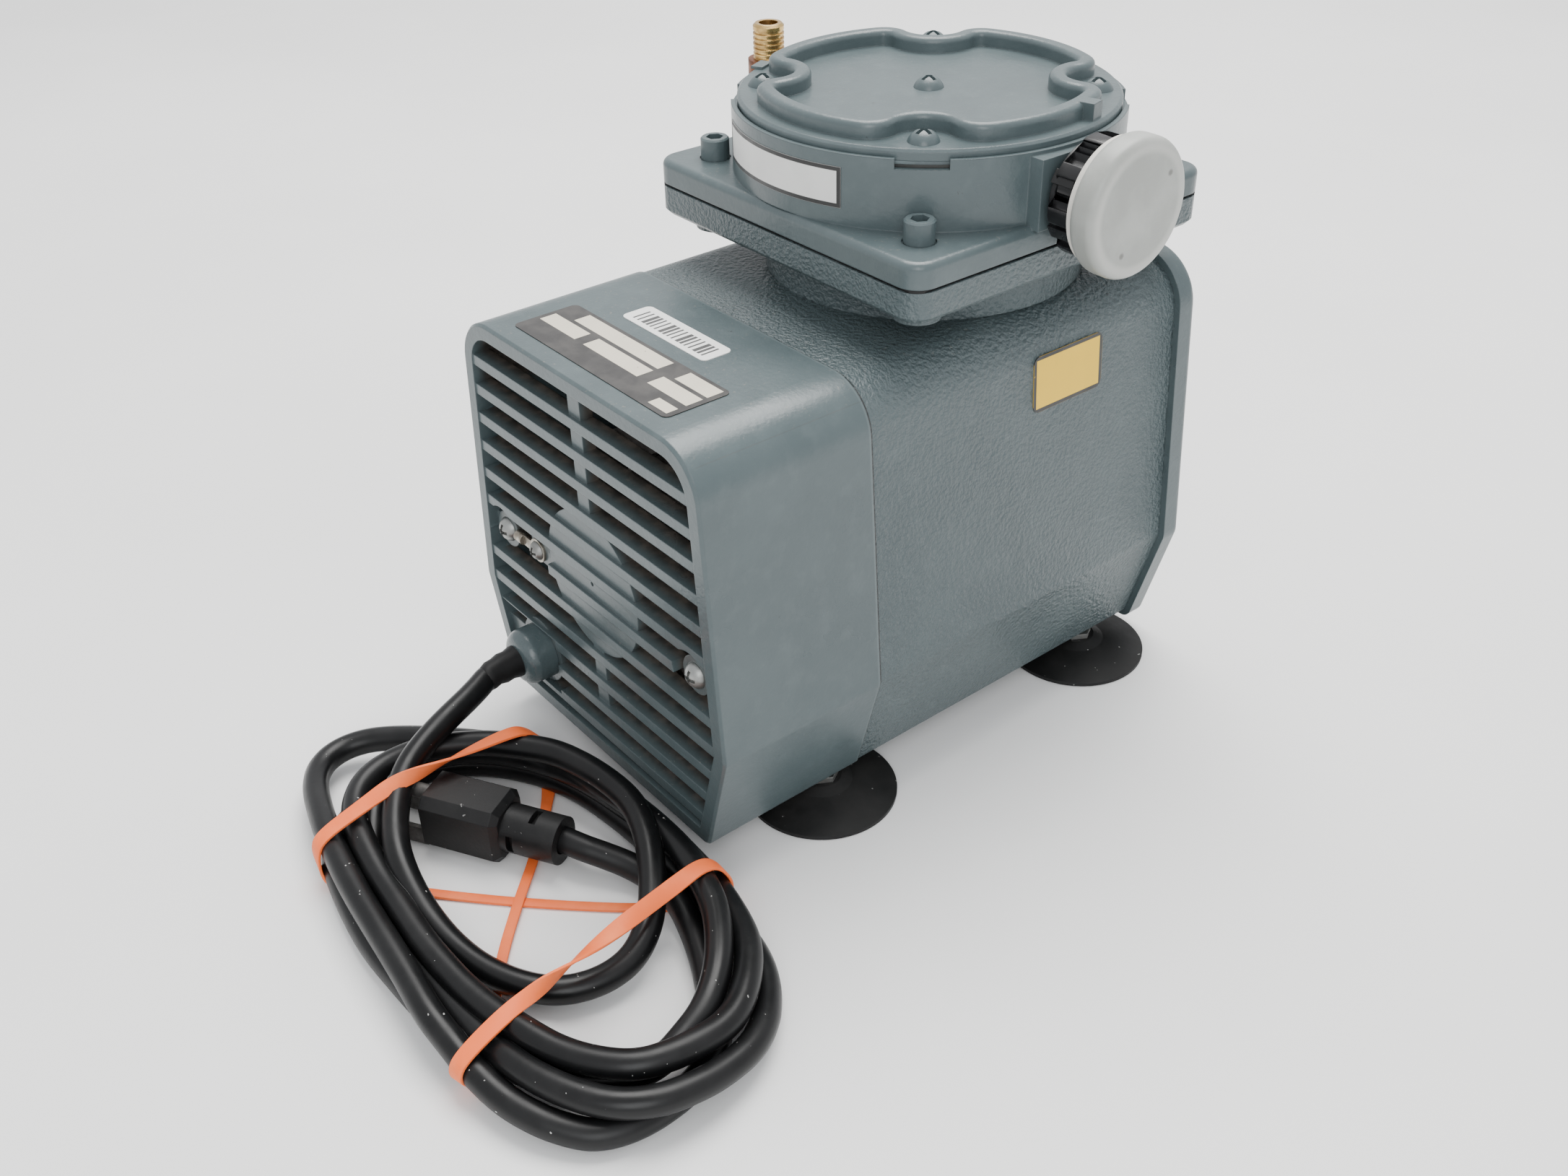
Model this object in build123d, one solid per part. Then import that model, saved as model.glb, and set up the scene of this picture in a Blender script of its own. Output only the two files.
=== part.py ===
from build123d import *
import math
import os

# Single-head diaphragm vacuum pump with its motor, valve head, feet and mains lead.
# Millimetres. +Z is up, the shaft lies along Y, the grille faces -Y and the inlet filter faces +X.
# The origin is on the floor, in the middle of the pump without its lead.

# ---- Body section, seen along the shaft ---------------------------------------------------
BODY_BOTTOM = 8.1
KINK_Z = 46.4
BODY_TOP = 143.0
BOTTOM_HALF = 55.5
KINK_HALF = 66.0
TOP_HALF = 59.1
SHOULDER_R = 16.0
KINK_R = 6.0
BOTTOM_R = 2.5
WALL = 5.0
HOUSING_INSET = 0.6
SHAFT_Z = 74.0

# ---- Body length ----------------------------------------------------------------------------
BODY_FRONT = -92.0
COVER_DEPTH = 59.0
HOUSING_LENGTH = 129.0
END_FLANGE = 8.0
END_PROUD = 1.6
SEAM_Y = BODY_FRONT + COVER_DEPTH
HOUSING_REAR = SEAM_Y + HOUSING_LENGTH
BODY_REAR = HOUSING_REAR + END_FLANGE

# ---- Clearances -------------------------------------------------------------------------------
SEAT_GAP = 0.05
SCREW_GAP = 0.15
PRESS_GAP = 0.02
RUNNING_GAP = 0.04
LOOSE_GAP = 0.4
CUT_PAST = 1.0

# ---- Grille -----------------------------------------------------------------------------------
SLAT_PITCH = 10.1
SLAT_THICK = 3.5
SLAT_COUNT = 12
SLAT_DEPTH = 5.5
FIRST_SLAT_DROP = 12.7
SLAT_INSET = 0.4
PAD_R = 24.0
PAD_INSET = 1.2
PAD_DIMPLE_R = 0.7
POST_WIDTH = 6.0
TAB_INSET = 1.5
SLAT_FRONT = BODY_FRONT + SLAT_INSET
SLAT_BACK = SLAT_FRONT + SLAT_DEPTH

# ---- Cover screws, earth terminal and cord bushing ---------------------------------------------
COVER_SCREW_X = 51.0
COVER_SCREW_DROP = 5.0
COVER_SCREW_R = 2.0
COVER_HEAD_R = 4.2
COVER_BOSS_R = 6.2
COVER_BOSS_INSET = 2.5
COVER_SCREW_BITE = 9.5
COVER_BRIDGE_HALF = 3.0
COVER_SCREW_Z = SHAFT_Z - COVER_SCREW_DROP
COVER_SCREW_TIP = SEAM_Y + COVER_SCREW_BITE
EARTH_X = -31.0
EARTH_Z = SHAFT_Z - 3.0
EARTH_SCREW_R = 1.6
EARTH_HEAD_R = 3.2
EARTH_RING_R = 4.0
EARTH_THICK = 0.8
EARTH_TAB_HALF = 4.0
EARTH_FACE_Y = SLAT_FRONT + TAB_INSET
GROMMET_X = -37.0
GROMMET_Z = 29.0
GROMMET_PAD_R = 11.5
GROMMET_BODY_R = 6.4
GROMMET_DOME_R = 9.5
GROMMET_NOSE = 8.5
GROMMET_FACE_Y = SLAT_FRONT + TAB_INSET
COLLAR_LENGTH = 4.0
COLLAR_WALL = 1.6

# ---- End cover ----------------------------------------------------------------------------------
END_SCREW_R = 2.0
END_HEAD_R = 3.8
END_HEAD_SINK = 3.0
END_SCREW_BITE = 10.0
END_SCREW_INSET = 11.0
END_BOSS_R = 5.5
END_BOSS_DEPTH = 20.0
END_BACK = 4.0
END_DISH = 1.5
END_DISH_INSET = 17.0

# ---- Motor ------------------------------------------------------------------------------------
SHAFT_R = 5.0
STATOR_R = 46.0
STATOR_BORE_R = 26.4
AIR_GAP = 0.6
STATOR_LENGTH = 30.0
STATOR_SLOTS = 16
SLOT_R = 2.2
SLOT_DEPTH = 4.5
WINDING_OUTER_R = 43.0
WINDING_INNER_R = 28.5
WINDING_LENGTH = 9.0
CAGE_RING = 4.0
PARTITION_THICK = 6.0
BEARING_R = 11.0
BEARING_WIDTH = 8.0
BEARING_LIP = 1.5
BEARING_LIP_R = 2.0
BEARING_WALL = 4.0
BRACKET_THICK = 5.0
BRACKET_ARM = 14.0
BRACKET_REACH = 59.0
BRACKET_SCREW_R = 2.0
BRACKET_HEAD_R = 3.4
BRACKET_SCREW_BITE = 9.0
FAN_R = 41.0
FAN_HUB_R = 9.0
FAN_DEPTH = 16.0
FAN_BLADES = 9
FAN_BLADE_THICK = 1.6
FAN_BACK = 2.0
SHAFT_PAST_FAN = 3.0
FAN_FRONT = BODY_FRONT + 13.0
BRACKET_Y = SEAM_Y - 16.0
STATOR_FRONT = SEAM_Y + 5.0
STATOR_REAR = STATOR_FRONT + STATOR_LENGTH
PARTITION_Y = SEAM_Y + 50.0

# ---- Head, from the housing top upward --------------------------------------------------------
HEAD_Y = SEAM_Y + 75.3
NECK_R = 50.0
NECK_BORE_R = 42.0
NECK_HEIGHT = 12.5
PLATE_HALF = 60.1
PLATE_CORNER_R = 7.0
BASE_PLATE_THICK = 9.2
DIAPHRAGM_THICK = 0.9
DIAPHRAGM_TRIM = 0.8
TOP_PLATE_THICK = 7.4
HEAD_R = 59.4
HEAD_HEIGHT = 17.6
HEAD_RIM = 2.8
CHAMBER_R = 44.0
CHAMBER_DEPTH = 4.2
DECK_THICK = 3.0
PLENUM_R = 43.0
PLENUM_WALL = 6.0
CENTRE_BOSS_R = 6.0
LID_BOSS_WALL = 4.0
CAP_SCREW_OFFSET = 46.3
CAP_SCREW_R = 2.6
CAP_HEAD_R = 4.48
CAP_HEAD_HEIGHT = 7.1
CAP_HEAD_SINK = 0.6
CAP_SOCKET_AF = 4.8
CAP_SOCKET_DEPTH = 3.5
CAP_TIP = 0.8
CORNER_BOSS_R = 7.0
CORNER_BOSS_DROP = 4.5
PORT_R = 6.0
PORT_FACE_X = 62.0
PORT_BOSS_HALF = 16.0
PORT_BOSS_START = 30.0
BASE_PLATE_Z = BODY_TOP + NECK_HEIGHT
DIAPHRAGM_Z = BASE_PLATE_Z + BASE_PLATE_THICK
TOP_PLATE_Z = DIAPHRAGM_Z + DIAPHRAGM_THICK
HEAD_Z = TOP_PLATE_Z + TOP_PLATE_THICK
SEAT_Z = HEAD_Z + HEAD_HEIGHT
DECK_Z = TOP_PLATE_Z + CHAMBER_DEPTH
DECK_TOP = DECK_Z + DECK_THICK
PORT_Z = HEAD_Z + 7.5
CAP_SEAT_Z = HEAD_Z - CAP_HEAD_SINK

# ---- Crank, rod and clamp plates ------------------------------------------------------------------
CRANK_THROW = 3.0
PIN_R = 6.0
PIN_SCREW_R = 1.8
PIN_WASHER_THICK = 1.2
PIN_HEX_AF = 8.0
PIN_HEX_THICK = 3.8
ROD_WIDTH = 9.0
ROD_BEARING_R = 11.0
ROD_EYE_R = 15.5
ROD_SHANK = 13.0
ROD_FLANGE_R = 13.0
ROD_FLANGE_THICK = 5.0
ECCENTRIC_HUB_R = 11.0
ECCENTRIC_HUB_LENGTH = 10.0
COUNTERWEIGHT_R = 24.0
COUNTERWEIGHT_THICK = 7.0
CLAMP_R = 36.0
CLAMP_THICK = 2.2
LOWER_CLAMP_THICK = 3.2
CLAMP_SCREW_R = 3.0
CLAMP_SCREW_BITE = 14.0
CLAMP_HEAD_THICK = 0.9
ROD_Y = HEAD_Y - ROD_WIDTH / 2
PIN_Z = SHAFT_Z + CRANK_THROW
ECCENTRIC_Y = ROD_Y - LOOSE_GAP - ECCENTRIC_HUB_LENGTH
ECCENTRIC_END = ECCENTRIC_Y + ECCENTRIC_HUB_LENGTH
ROD_TOP = DIAPHRAGM_Z - LOWER_CLAMP_THICK

# ---- Valves -----------------------------------------------------------------------------------
VALVE_X = 21.0
REED_LENGTH = 21.0
REED_WIDTH = 9.0
REED_THICK = 0.3
REED_GAP = 0.1
REED_ROOT = 12.0
REED_CLAMP_HALF = 3.0
REED_CLAMP_THICK = 1.2
REED_SCREW_R = 1.2
REED_HEAD_R = 2.2
REED_HEAD_THICK = 1.4
VALVE_PORT_R = 3.0
REED_SCREW_Y = HEAD_Y + REED_ROOT

# ---- Lid --------------------------------------------------------------------------------------
GASKET_THICK = 0.9
BAFFLE_THICK = 0.9
LID_R = 57.5
LID_FLANGE = 3.2
BEAD_R = 50.0
BEAD_HALF = 2.7
BEAD_HEIGHT = 4.8
BEAD_CURL_R = 12.0
BEAD_BLEND_R = 6.0
LID_SCREW_RADIUS = 50.0
LID_SCREW_R = 2.2
LID_HEAD_R = 4.6
LID_SCREW_BITE = 9.0
NOTCH_WIDTH = 15.0
POINTER_LENGTH = 7.0
POINTER_WIDTH = 5.0
POINTER_ANGLE = 14.0
LUG_ANGLES = (80.0, 152.0, 205.0)
LUG_LENGTH = 4.0
LUG_WIDTH = 7.0
LUG_HEIGHT = 0.8
POINTER_R = BEAD_R + BEAD_HALF - 0.2
GASKET_Z = SEAT_Z
BAFFLE_Z = GASKET_Z + GASKET_THICK
LID_Z = BAFFLE_Z + BAFFLE_THICK
LID_TOP = LID_Z + LID_FLANGE

# ---- Inlet filter and outlet fitting ------------------------------------------------------------
REACH_X = 84.0
SPIGOT_LENGTH = 9.0
FILTER_BODY_R = 15.0
FILTER_BORE_R = 3.5
FILTER_LUGS = 6
FILTER_LUG_WIDTH = 4.0
FILTER_CAP_R = 19.8
FILTER_CAP_DEPTH = 12.5
FILTER_CAP_WALL = 1.6
FILTER_MOUTH = 2.0
FELT_THICK = 4.0
CAP_EDGE_R = 4.0
ELBOW_R = 7.0
ELBOW_RISE = 8.0
FITTING_R = 5.2
FITTING_BORE_R = 3.2
FITTING_LENGTH = 11.5
FITTING_SPIGOT = 3.0
THREAD_PITCH = 1.6
THREAD_TURNS = 6
THREAD_DEPTH = 0.6
FIRST_THREAD_DROP = 2.6
FILTER_CAP_X = REACH_X - FILTER_CAP_DEPTH
FITTING_X = REACH_X - ELBOW_R
ELBOW_TOP = PORT_Z + ELBOW_RISE
FITTING_TOP = ELBOW_TOP + FITTING_LENGTH

# ---- Feet -------------------------------------------------------------------------------------
FOOT_X = 50.0
FRONT_FOOT_Y = BODY_FRONT + 48.9
REAR_FOOT_Y = HOUSING_REAR - 20.2
FOOT_R = 24.3
FOOT_HUB_R = 6.5
FOOT_RIM = 1.2
FOOT_NUT_AF = 10.0
FOOT_NUT_THICK = 2.0
STUD_R = 2.5
STUD_DEPTH = 2.6
STUD_TOP = BODY_BOTTOM + WALL + 7.0

# ---- Labels -----------------------------------------------------------------------------------
LABEL_THICK = 0.25
RATING_CENTRE = (-1.0, BODY_FRONT + 18.0)
RATING_SIZE = (77.0, 22.0)
STOCK_CENTRE = (-3.4, BODY_FRONT + 39.8)
STOCK_SIZE = (41.0, 10.5)
HEAD_LABEL_LEFT = 239.0
HEAD_LABEL_RIGHT = 293.0
HEAD_LABEL_DROP = 1.0
HEAD_LABEL_HEIGHT = 11.6
SIDE_LABEL_Y = SEAM_Y + 79.7
SIDE_LABEL_Z = BODY_TOP - 21.0
SIDE_LABEL_SIZE = (30.0, 18.0)
SIDE_LABEL_CORNER = 2.5

# ---- Mains lead ---------------------------------------------------------------------------------
CORD_R = 4.1
CORD_ROUTE = (
    (-37.0, -98.0, 29.0),
    (-37.0, -112.0, 29.0),
    (-38.4, -126.0, 28.0),
    (-37.4, -138.4, 26.0),
    (-33.6, -149.0, 24.2),
    (-29.4, -157.0, 22.8),
)
TAIL_ROUTE = (
    (25.32, -126.0, 10.0),
    (37.44, -119.0, 10.0),
    (49.5, -112.4, 8.4),
)
COIL_BOTTOM = 1.2
COIL_HEIGHT = 17.4
COIL_OUTLINE = ((-42.0, -150.0, 22.0), (88.0, -150.0, 41.0), (30.0, -126.0, 30.0), (30.0, -163.0, 28.0))
COIL_HOLE = ((3.0, -142.0, 21.0), (46.0, -138.0, 28.0))
PLUG_CENTRE = (0.2, -140.5)
PLUG_ANGLE = 30.0
PLUG_LENGTH = 26.0
PLUG_WIDTH = 18.0
PLUG_HEIGHT = 20.0
PLUG_EDGE = 3.0
PLUG_SHOULDER = 2.0
PLUG_NECK_R = 7.5
PLUG_NECK_LENGTH = 18.0
NECK_SLOT_WIDTH = 2.2
NECK_SLOT_HEIGHT = 6.0
NECK_SLOT_DEPTH = 2.5
NECK_SLOT_FIRST = 3.5
NECK_SLOT_PITCH = 6.0
BLADE_LENGTH = 16.0
BLADE_SPACING = 12.7
BLADE_THICK = 1.5
BLADE_WIDTH = 6.35
BLADE_DROP = 6.4
EARTH_PIN_R = 2.4
EARTH_PIN_RISE = 11.9
POCKET_ROOM = 4.0
BAND_WIDTH = 5.0
BAND_THICK = 0.8
BAND_LIFT = 1.8
BAND_CORNERS = ((-12.0, -101.1), (-16.0, -182.0), (69.0, -98.2), (86.0, -192.2))


def sketch_at_y(sketch, y_low, y_high):
    """Extrude an X-Z sketch so that it fills y_low to y_high."""
    plane = Plane(origin=(0, y_high, 0), x_dir=(1, 0, 0), z_dir=(0, -1, 0))
    return extrude(plane * sketch, amount=y_high - y_low)


def rod_y(radius, y_low, y_high, x=0.0, z=SHAFT_Z):
    """A round bar along Y."""
    return Pos(x, (y_low + y_high) / 2, z) * Rot(90, 0, 0) * Cylinder(radius, y_high - y_low)


def rod_x(radius, x_low, x_high, y=HEAD_Y, z=PORT_Z):
    """A round bar along X."""
    return Pos((x_low + x_high) / 2, y, z) * Rot(0, 90, 0) * Cylinder(radius, x_high - x_low)


def rod_z(radius, z_low, z_high, x=0.0, y=HEAD_Y):
    """A round bar along Z."""
    return Pos(x, y, (z_low + z_high) / 2) * Cylinder(radius, z_high - z_low)


def block(x_range, y_range, z_range):
    """A box given by its lowest and highest value along each axis."""
    size = [high - low for low, high in (x_range, y_range, z_range)]
    middle = [(high + low) / 2 for low, high in (x_range, y_range, z_range)]
    return Pos(*middle) * Box(*size)


def body_outline(inset=0.0):
    """The body's section: flared sides, a kink low down and rounded shoulders."""
    corners = [
        (-BOTTOM_HALF, BODY_BOTTOM),
        (BOTTOM_HALF, BODY_BOTTOM),
        (KINK_HALF, KINK_Z),
        (TOP_HALF, BODY_TOP),
        (-TOP_HALF, BODY_TOP),
        (-KINK_HALF, KINK_Z),
    ]
    outline = make_face(Polyline(*corners, close=True))
    rounding = ((BODY_TOP, SHOULDER_R), (KINK_Z, KINK_R), (BODY_BOTTOM, BOTTOM_R))
    for height, radius in rounding:
        at_height = [v for v in outline.vertices() if abs(v.Y - height) < 0.01]
        outline = fillet(at_height, radius)
    if inset:
        outline = offset(outline, amount=-inset)
    return outline


def corner_points(half_x, half_y=None, centre=(0.0, HEAD_Y)):
    """The four corners of a rectangle about the head's centre."""
    half_y = half_x if half_y is None else half_y
    return [(centre[0] + sx * half_x, centre[1] + sy * half_y) for sx in (-1, 1) for sy in (-1, 1)]


def lid_screw_points():
    """The lid's four screws, on the diagonals."""
    return corner_points(LID_SCREW_RADIUS * math.sqrt(0.5))


def bracket_screw_points():
    """The four screws that hold the front bearing bracket, as X and Z."""
    reach = (BRACKET_REACH - BRACKET_ARM / 4) * math.sqrt(0.5)
    return [(sx * reach, SHAFT_Z + sz * reach) for sx in (-1, 1) for sz in (-1, 1)]


def end_screw_points():
    """The four screws of the end cover, as X and Z."""
    low = (BOTTOM_HALF - END_SCREW_INSET + 4, BODY_BOTTOM + END_SCREW_INSET)
    high = (TOP_HALF - END_SCREW_INSET, BODY_TOP - END_SCREW_INSET)
    return [(side * x, z) for side in (-1, 1) for x, z in (low, high)]


def hexagon(across_flats):
    """A regular hexagon of a given size across its flats."""
    return RegularPolygon(across_flats / 2, 6, major_radius=False)


def cross_recess(radius, depth):
    """The cutter for a cross-recessed screw head, point down at the origin."""
    slot = Box(radius * 1.15, radius * 0.28, depth * 2)
    return slot + Rot(0, 0, 90) * slot


def round_head_screw(head_r, shank_r, length):
    """A cross-recessed round-head screw: head above the origin, shank below it."""
    height = head_r * 0.72
    sphere_r = (head_r**2 + height**2) / (2 * height)
    dome = Pos(0, 0, height - sphere_r) * Sphere(sphere_r)
    head = dome & (Pos(0, 0, height / 2) * Cylinder(head_r, height))
    head -= Pos(0, 0, height) * cross_recess(head_r, height * 0.45)
    return head + Pos(0, 0, -length / 2) * Cylinder(shank_r, length)


def tube_path(points, section_r):
    """A round tube along straight runs joined by arcs as large as the runs allow."""
    vectors = [Vector(*p) for p in points]
    runs = [b - a for a, b in zip(vectors, vectors[1:])]
    radii = []
    for before, after in zip(runs, runs[1:]):
        turn = math.radians(before.get_angle(after))
        radii.append(0.45 * min(before.length, after.length) / math.tan(turn / 2))
    path = FilletPolyline(*points, radius=radii)
    section = Plane(origin=points[0], z_dir=runs[0].normalized()) * Circle(section_r)
    tube = sweep(section, path=path)
    expected = math.pi * section_r**2 * path.length
    print("arc radii", [round(r, 1) for r in radii], "length", round(path.length, 1),
          "volume over section x length", round(tube.volume / expected, 4))
    return tube


# ---- Body -------------------------------------------------------------------------------------


def grille_slats():
    """The slats across the whole face, with the post above and below the pad."""
    slats = Part()
    for index in range(SLAT_COUNT):
        top = BODY_TOP - FIRST_SLAT_DROP - index * SLAT_PITCH
        slats += block((-KINK_HALF, KINK_HALF), (SLAT_FRONT, SLAT_BACK), (top - SLAT_THICK, top))
    post_x = (-POST_WIDTH / 2, POST_WIDTH / 2)
    post_y = (SLAT_FRONT + PAD_INSET, SLAT_BACK)
    slats += block(post_x, post_y, (SHAFT_Z + PAD_R - 2, BODY_TOP - WALL + 1))
    return slats + block(post_x, post_y, (GROMMET_Z - 3, SHAFT_Z - PAD_R + 2))


def grille_windows():
    """The openings left in the slats for the cord bushing, the screws and the earth terminal."""
    past = (SLAT_FRONT - CUT_PAST, SLAT_BACK + CUT_PAST)
    windows = block((-KINK_HALF, GROMMET_X + GROMMET_PAD_R), past,
                    (GROMMET_Z - GROMMET_PAD_R, GROMMET_Z + GROMMET_DOME_R + LOOSE_GAP))
    windows += block((EARTH_X - 12, EARTH_X + 7), past, (EARTH_Z - 7, EARTH_Z + 2))
    for side in (-1, 1):
        windows += rod_y(COVER_BOSS_R + 2.5, *past, side * COVER_SCREW_X, COVER_SCREW_Z)
    return windows


def grille_bosses():
    """The screw bosses with their bridges, the bushing's pad with its web and the earth tab."""
    boss_front = BODY_FRONT + COVER_BOSS_INSET
    tab_y = (SLAT_FRONT + TAB_INSET, SLAT_BACK)
    bosses = rod_y(GROMMET_PAD_R, *tab_y, GROMMET_X, GROMMET_Z)
    bosses += block((-KINK_HALF, GROMMET_X), tab_y, (GROMMET_Z - 4, GROMMET_Z + 4))
    bosses += block((EARTH_X - EARTH_TAB_HALF, EARTH_X + 9), tab_y,
                    (EARTH_Z - EARTH_TAB_HALF, EARTH_Z + EARTH_TAB_HALF))
    for side in (-1, 1):
        bosses += rod_y(COVER_BOSS_R, boss_front, SLAT_BACK + 2, side * COVER_SCREW_X, COVER_SCREW_Z)
        bosses += block((side * COVER_SCREW_X, side * KINK_HALF)[::side], (boss_front + 1, SLAT_BACK),
                        (COVER_SCREW_Z - COVER_BRIDGE_HALF, COVER_SCREW_Z + COVER_BRIDGE_HALF))
    return bosses


def make_grille_cover():
    """The front cover with its slatted face, centre pad, bosses and cord opening."""
    outer = sketch_at_y(body_outline(), BODY_FRONT, SEAM_Y)
    front_edges = outer.faces().sort_by(Axis.Y)[0].edges()
    outer = chamfer(front_edges, 0.8)
    cover = outer - sketch_at_y(body_outline(WALL), BODY_FRONT - 1, SEAM_Y + 1)

    face = grille_slats() - grille_windows() + rod_y(PAD_R, SLAT_FRONT + PAD_INSET, SLAT_BACK)
    face &= sketch_at_y(body_outline(WALL - 1), SLAT_FRONT, SLAT_BACK)
    face += grille_bosses()
    cover += face & sketch_at_y(body_outline(WALL - 1), BODY_FRONT, SEAM_Y)

    front = BODY_FRONT - CUT_PAST
    for side in (-1, 1):
        x = side * COVER_SCREW_X
        cover -= rod_y(COVER_SCREW_R + SCREW_GAP, front, SLAT_BACK + 3, x, COVER_SCREW_Z)
        cover -= rod_z(STUD_R + SCREW_GAP, BODY_BOTTOM - 1, STUD_TOP + 1, side * FOOT_X, FRONT_FOOT_Y)
    cover -= rod_y(GROMMET_BODY_R + SEAT_GAP, front, SLAT_BACK + 1, GROMMET_X, GROMMET_Z)
    cover -= rod_y(EARTH_SCREW_R + SCREW_GAP, front, SLAT_BACK + 1, EARTH_X, EARTH_Z)
    return cover - rod_y(PAD_DIMPLE_R, front, SLAT_FRONT + PAD_INSET + 2)


def make_motor_housing():
    """The middle casting: motor bore, partition wall and crankcase."""
    housing = sketch_at_y(body_outline(HOUSING_INSET), SEAM_Y, HOUSING_REAR)
    housing -= rod_y(STATOR_R + SEAT_GAP, SEAM_Y - 1, STATOR_REAR)
    housing -= rod_y(WINDING_OUTER_R + LOOSE_GAP, SEAM_Y, PARTITION_Y)
    crankcase_y = (PARTITION_Y + PARTITION_THICK, HOUSING_REAR + CUT_PAST)
    housing -= sketch_at_y(body_outline(HOUSING_INSET + WALL), *crankcase_y)
    bearing_end = PARTITION_Y + BEARING_WIDTH
    housing += rod_y(BEARING_R + BEARING_WALL, PARTITION_Y, bearing_end)
    housing -= rod_y(BEARING_R + PRESS_GAP, PARTITION_Y - 1, bearing_end - BEARING_LIP)
    housing -= rod_y(BEARING_R - BEARING_LIP_R, PARTITION_Y - 1, bearing_end + 1)
    housing -= rod_z(NECK_BORE_R, BODY_TOP - WALL - 4, BODY_TOP + 1)
    for x, z in bracket_screw_points():
        housing -= rod_y(BRACKET_SCREW_R + SCREW_GAP, SEAM_Y - 1, SEAM_Y + BRACKET_SCREW_BITE + 1, x, z)
    outside = sketch_at_y(body_outline(HOUSING_INSET), SEAM_Y, HOUSING_REAR)
    for x, z in end_screw_points():
        housing += rod_y(END_BOSS_R, HOUSING_REAR - END_BOSS_DEPTH, HOUSING_REAR, x, z) & outside
        housing -= rod_y(END_SCREW_R + SCREW_GAP, HOUSING_REAR - END_SCREW_BITE - 1, HOUSING_REAR + 1, x, z)
    for side in (-1, 1):
        x = side * COVER_SCREW_X
        housing -= rod_y(COVER_SCREW_R + SCREW_GAP, SEAM_Y - 1, COVER_SCREW_TIP + 1, x, COVER_SCREW_Z)
        housing -= rod_z(STUD_R + SCREW_GAP, BODY_BOTTOM - 1, STUD_TOP + 1, side * FOOT_X, REAR_FOOT_Y)
    return housing


def make_end_cover():
    """The rear cover: a flange proud of the body and a shallow dished back."""
    flange = sketch_at_y(offset(body_outline(), amount=END_PROUD), HOUSING_REAR, BODY_REAR)
    rear_edges = flange.faces().sort_by(Axis.Y)[-1].edges()
    flange = fillet(rear_edges, 2.5)
    flange -= sketch_at_y(body_outline(WALL + 9), HOUSING_REAR - 1, BODY_REAR - END_BACK)
    flange -= sketch_at_y(body_outline(END_DISH_INSET), BODY_REAR - END_DISH, BODY_REAR + 1)
    for x, z in end_screw_points():
        flange -= rod_y(END_SCREW_R + SCREW_GAP, HOUSING_REAR - 1, BODY_REAR + 1, x, z)
        flange -= rod_y(END_HEAD_R + LOOSE_GAP, BODY_REAR - END_HEAD_SINK, BODY_REAR + 1, x, z)
    return flange


def make_cover_screws():
    """Two long cross-head screws through the grille into the housing."""
    seat = BODY_FRONT + COVER_BOSS_INSET
    screw = round_head_screw(COVER_HEAD_R, COVER_SCREW_R, COVER_SCREW_TIP - seat)
    turned = Rot(90, 0, 0) * screw
    return [Pos(side * COVER_SCREW_X, seat, COVER_SCREW_Z) * turned for side in (-1, 1)]


def make_end_screws():
    """Four screws in the end cover, their heads sunk in counterbores."""
    length = END_FLANGE - END_HEAD_SINK + END_SCREW_BITE
    screw = Rot(-90, 0, 0) * round_head_screw(END_HEAD_R, END_SCREW_R, length)
    return [Pos(x, BODY_REAR - END_HEAD_SINK, z) * screw for x, z in end_screw_points()]


def make_earth_terminal():
    """A ring terminal with its barrel, flat against the grille's tab."""
    front = EARTH_FACE_Y - EARTH_THICK
    ring = rod_y(EARTH_RING_R, front, EARTH_FACE_Y, EARTH_X, EARTH_Z)
    ring += block((EARTH_X - 9, EARTH_X - 2), (front, EARTH_FACE_Y), (EARTH_Z - 1.8, EARTH_Z + 1.8))
    ring -= rod_y(EARTH_SCREW_R + SCREW_GAP, front - 1, EARTH_FACE_Y + 1, EARTH_X, EARTH_Z)
    return ring + rod_x(1.9, EARTH_X - 12, EARTH_X - 8, EARTH_FACE_Y - EARTH_THICK / 2, EARTH_Z)


def make_earth_screw():
    """The small screw that holds the ring terminal."""
    screw = Rot(90, 0, 0) * round_head_screw(EARTH_HEAD_R, EARTH_SCREW_R, 6.0)
    return Pos(EARTH_X, EARTH_FACE_Y - EARTH_THICK, EARTH_Z) * screw


def make_grommet():
    """The domed cord bushing in the grille."""
    nose_y = BODY_FRONT - GROMMET_NOSE
    dome = rod_y(GROMMET_DOME_R, nose_y, GROMMET_FACE_Y, GROMMET_X, GROMMET_Z)
    dome = fillet(dome.faces().sort_by(Axis.Y)[0].edges(), GROMMET_DOME_R * 0.45)
    body = rod_y(GROMMET_BODY_R, GROMMET_FACE_Y, SLAT_BACK + 2, GROMMET_X, GROMMET_Z)
    bore = rod_y(CORD_R + SEAT_GAP, nose_y - 1, SLAT_BACK + 3, GROMMET_X, GROMMET_Z)
    return dome + body - bore


def make_collar():
    """The black moulded collar round the cord at the grommet's nose."""
    back = BODY_FRONT - GROMMET_NOSE
    collar = rod_y(CORD_R + COLLAR_WALL, back - COLLAR_LENGTH, back, GROMMET_X, GROMMET_Z)
    collar = chamfer(collar.faces().sort_by(Axis.Y)[0].edges(), COLLAR_WALL / 2)
    return collar - rod_y(CORD_R + SEAT_GAP, back - COLLAR_LENGTH - 1, back + 1, GROMMET_X, GROMMET_Z)


# ---- Motor and rotor --------------------------------------------------------------------------


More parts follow.
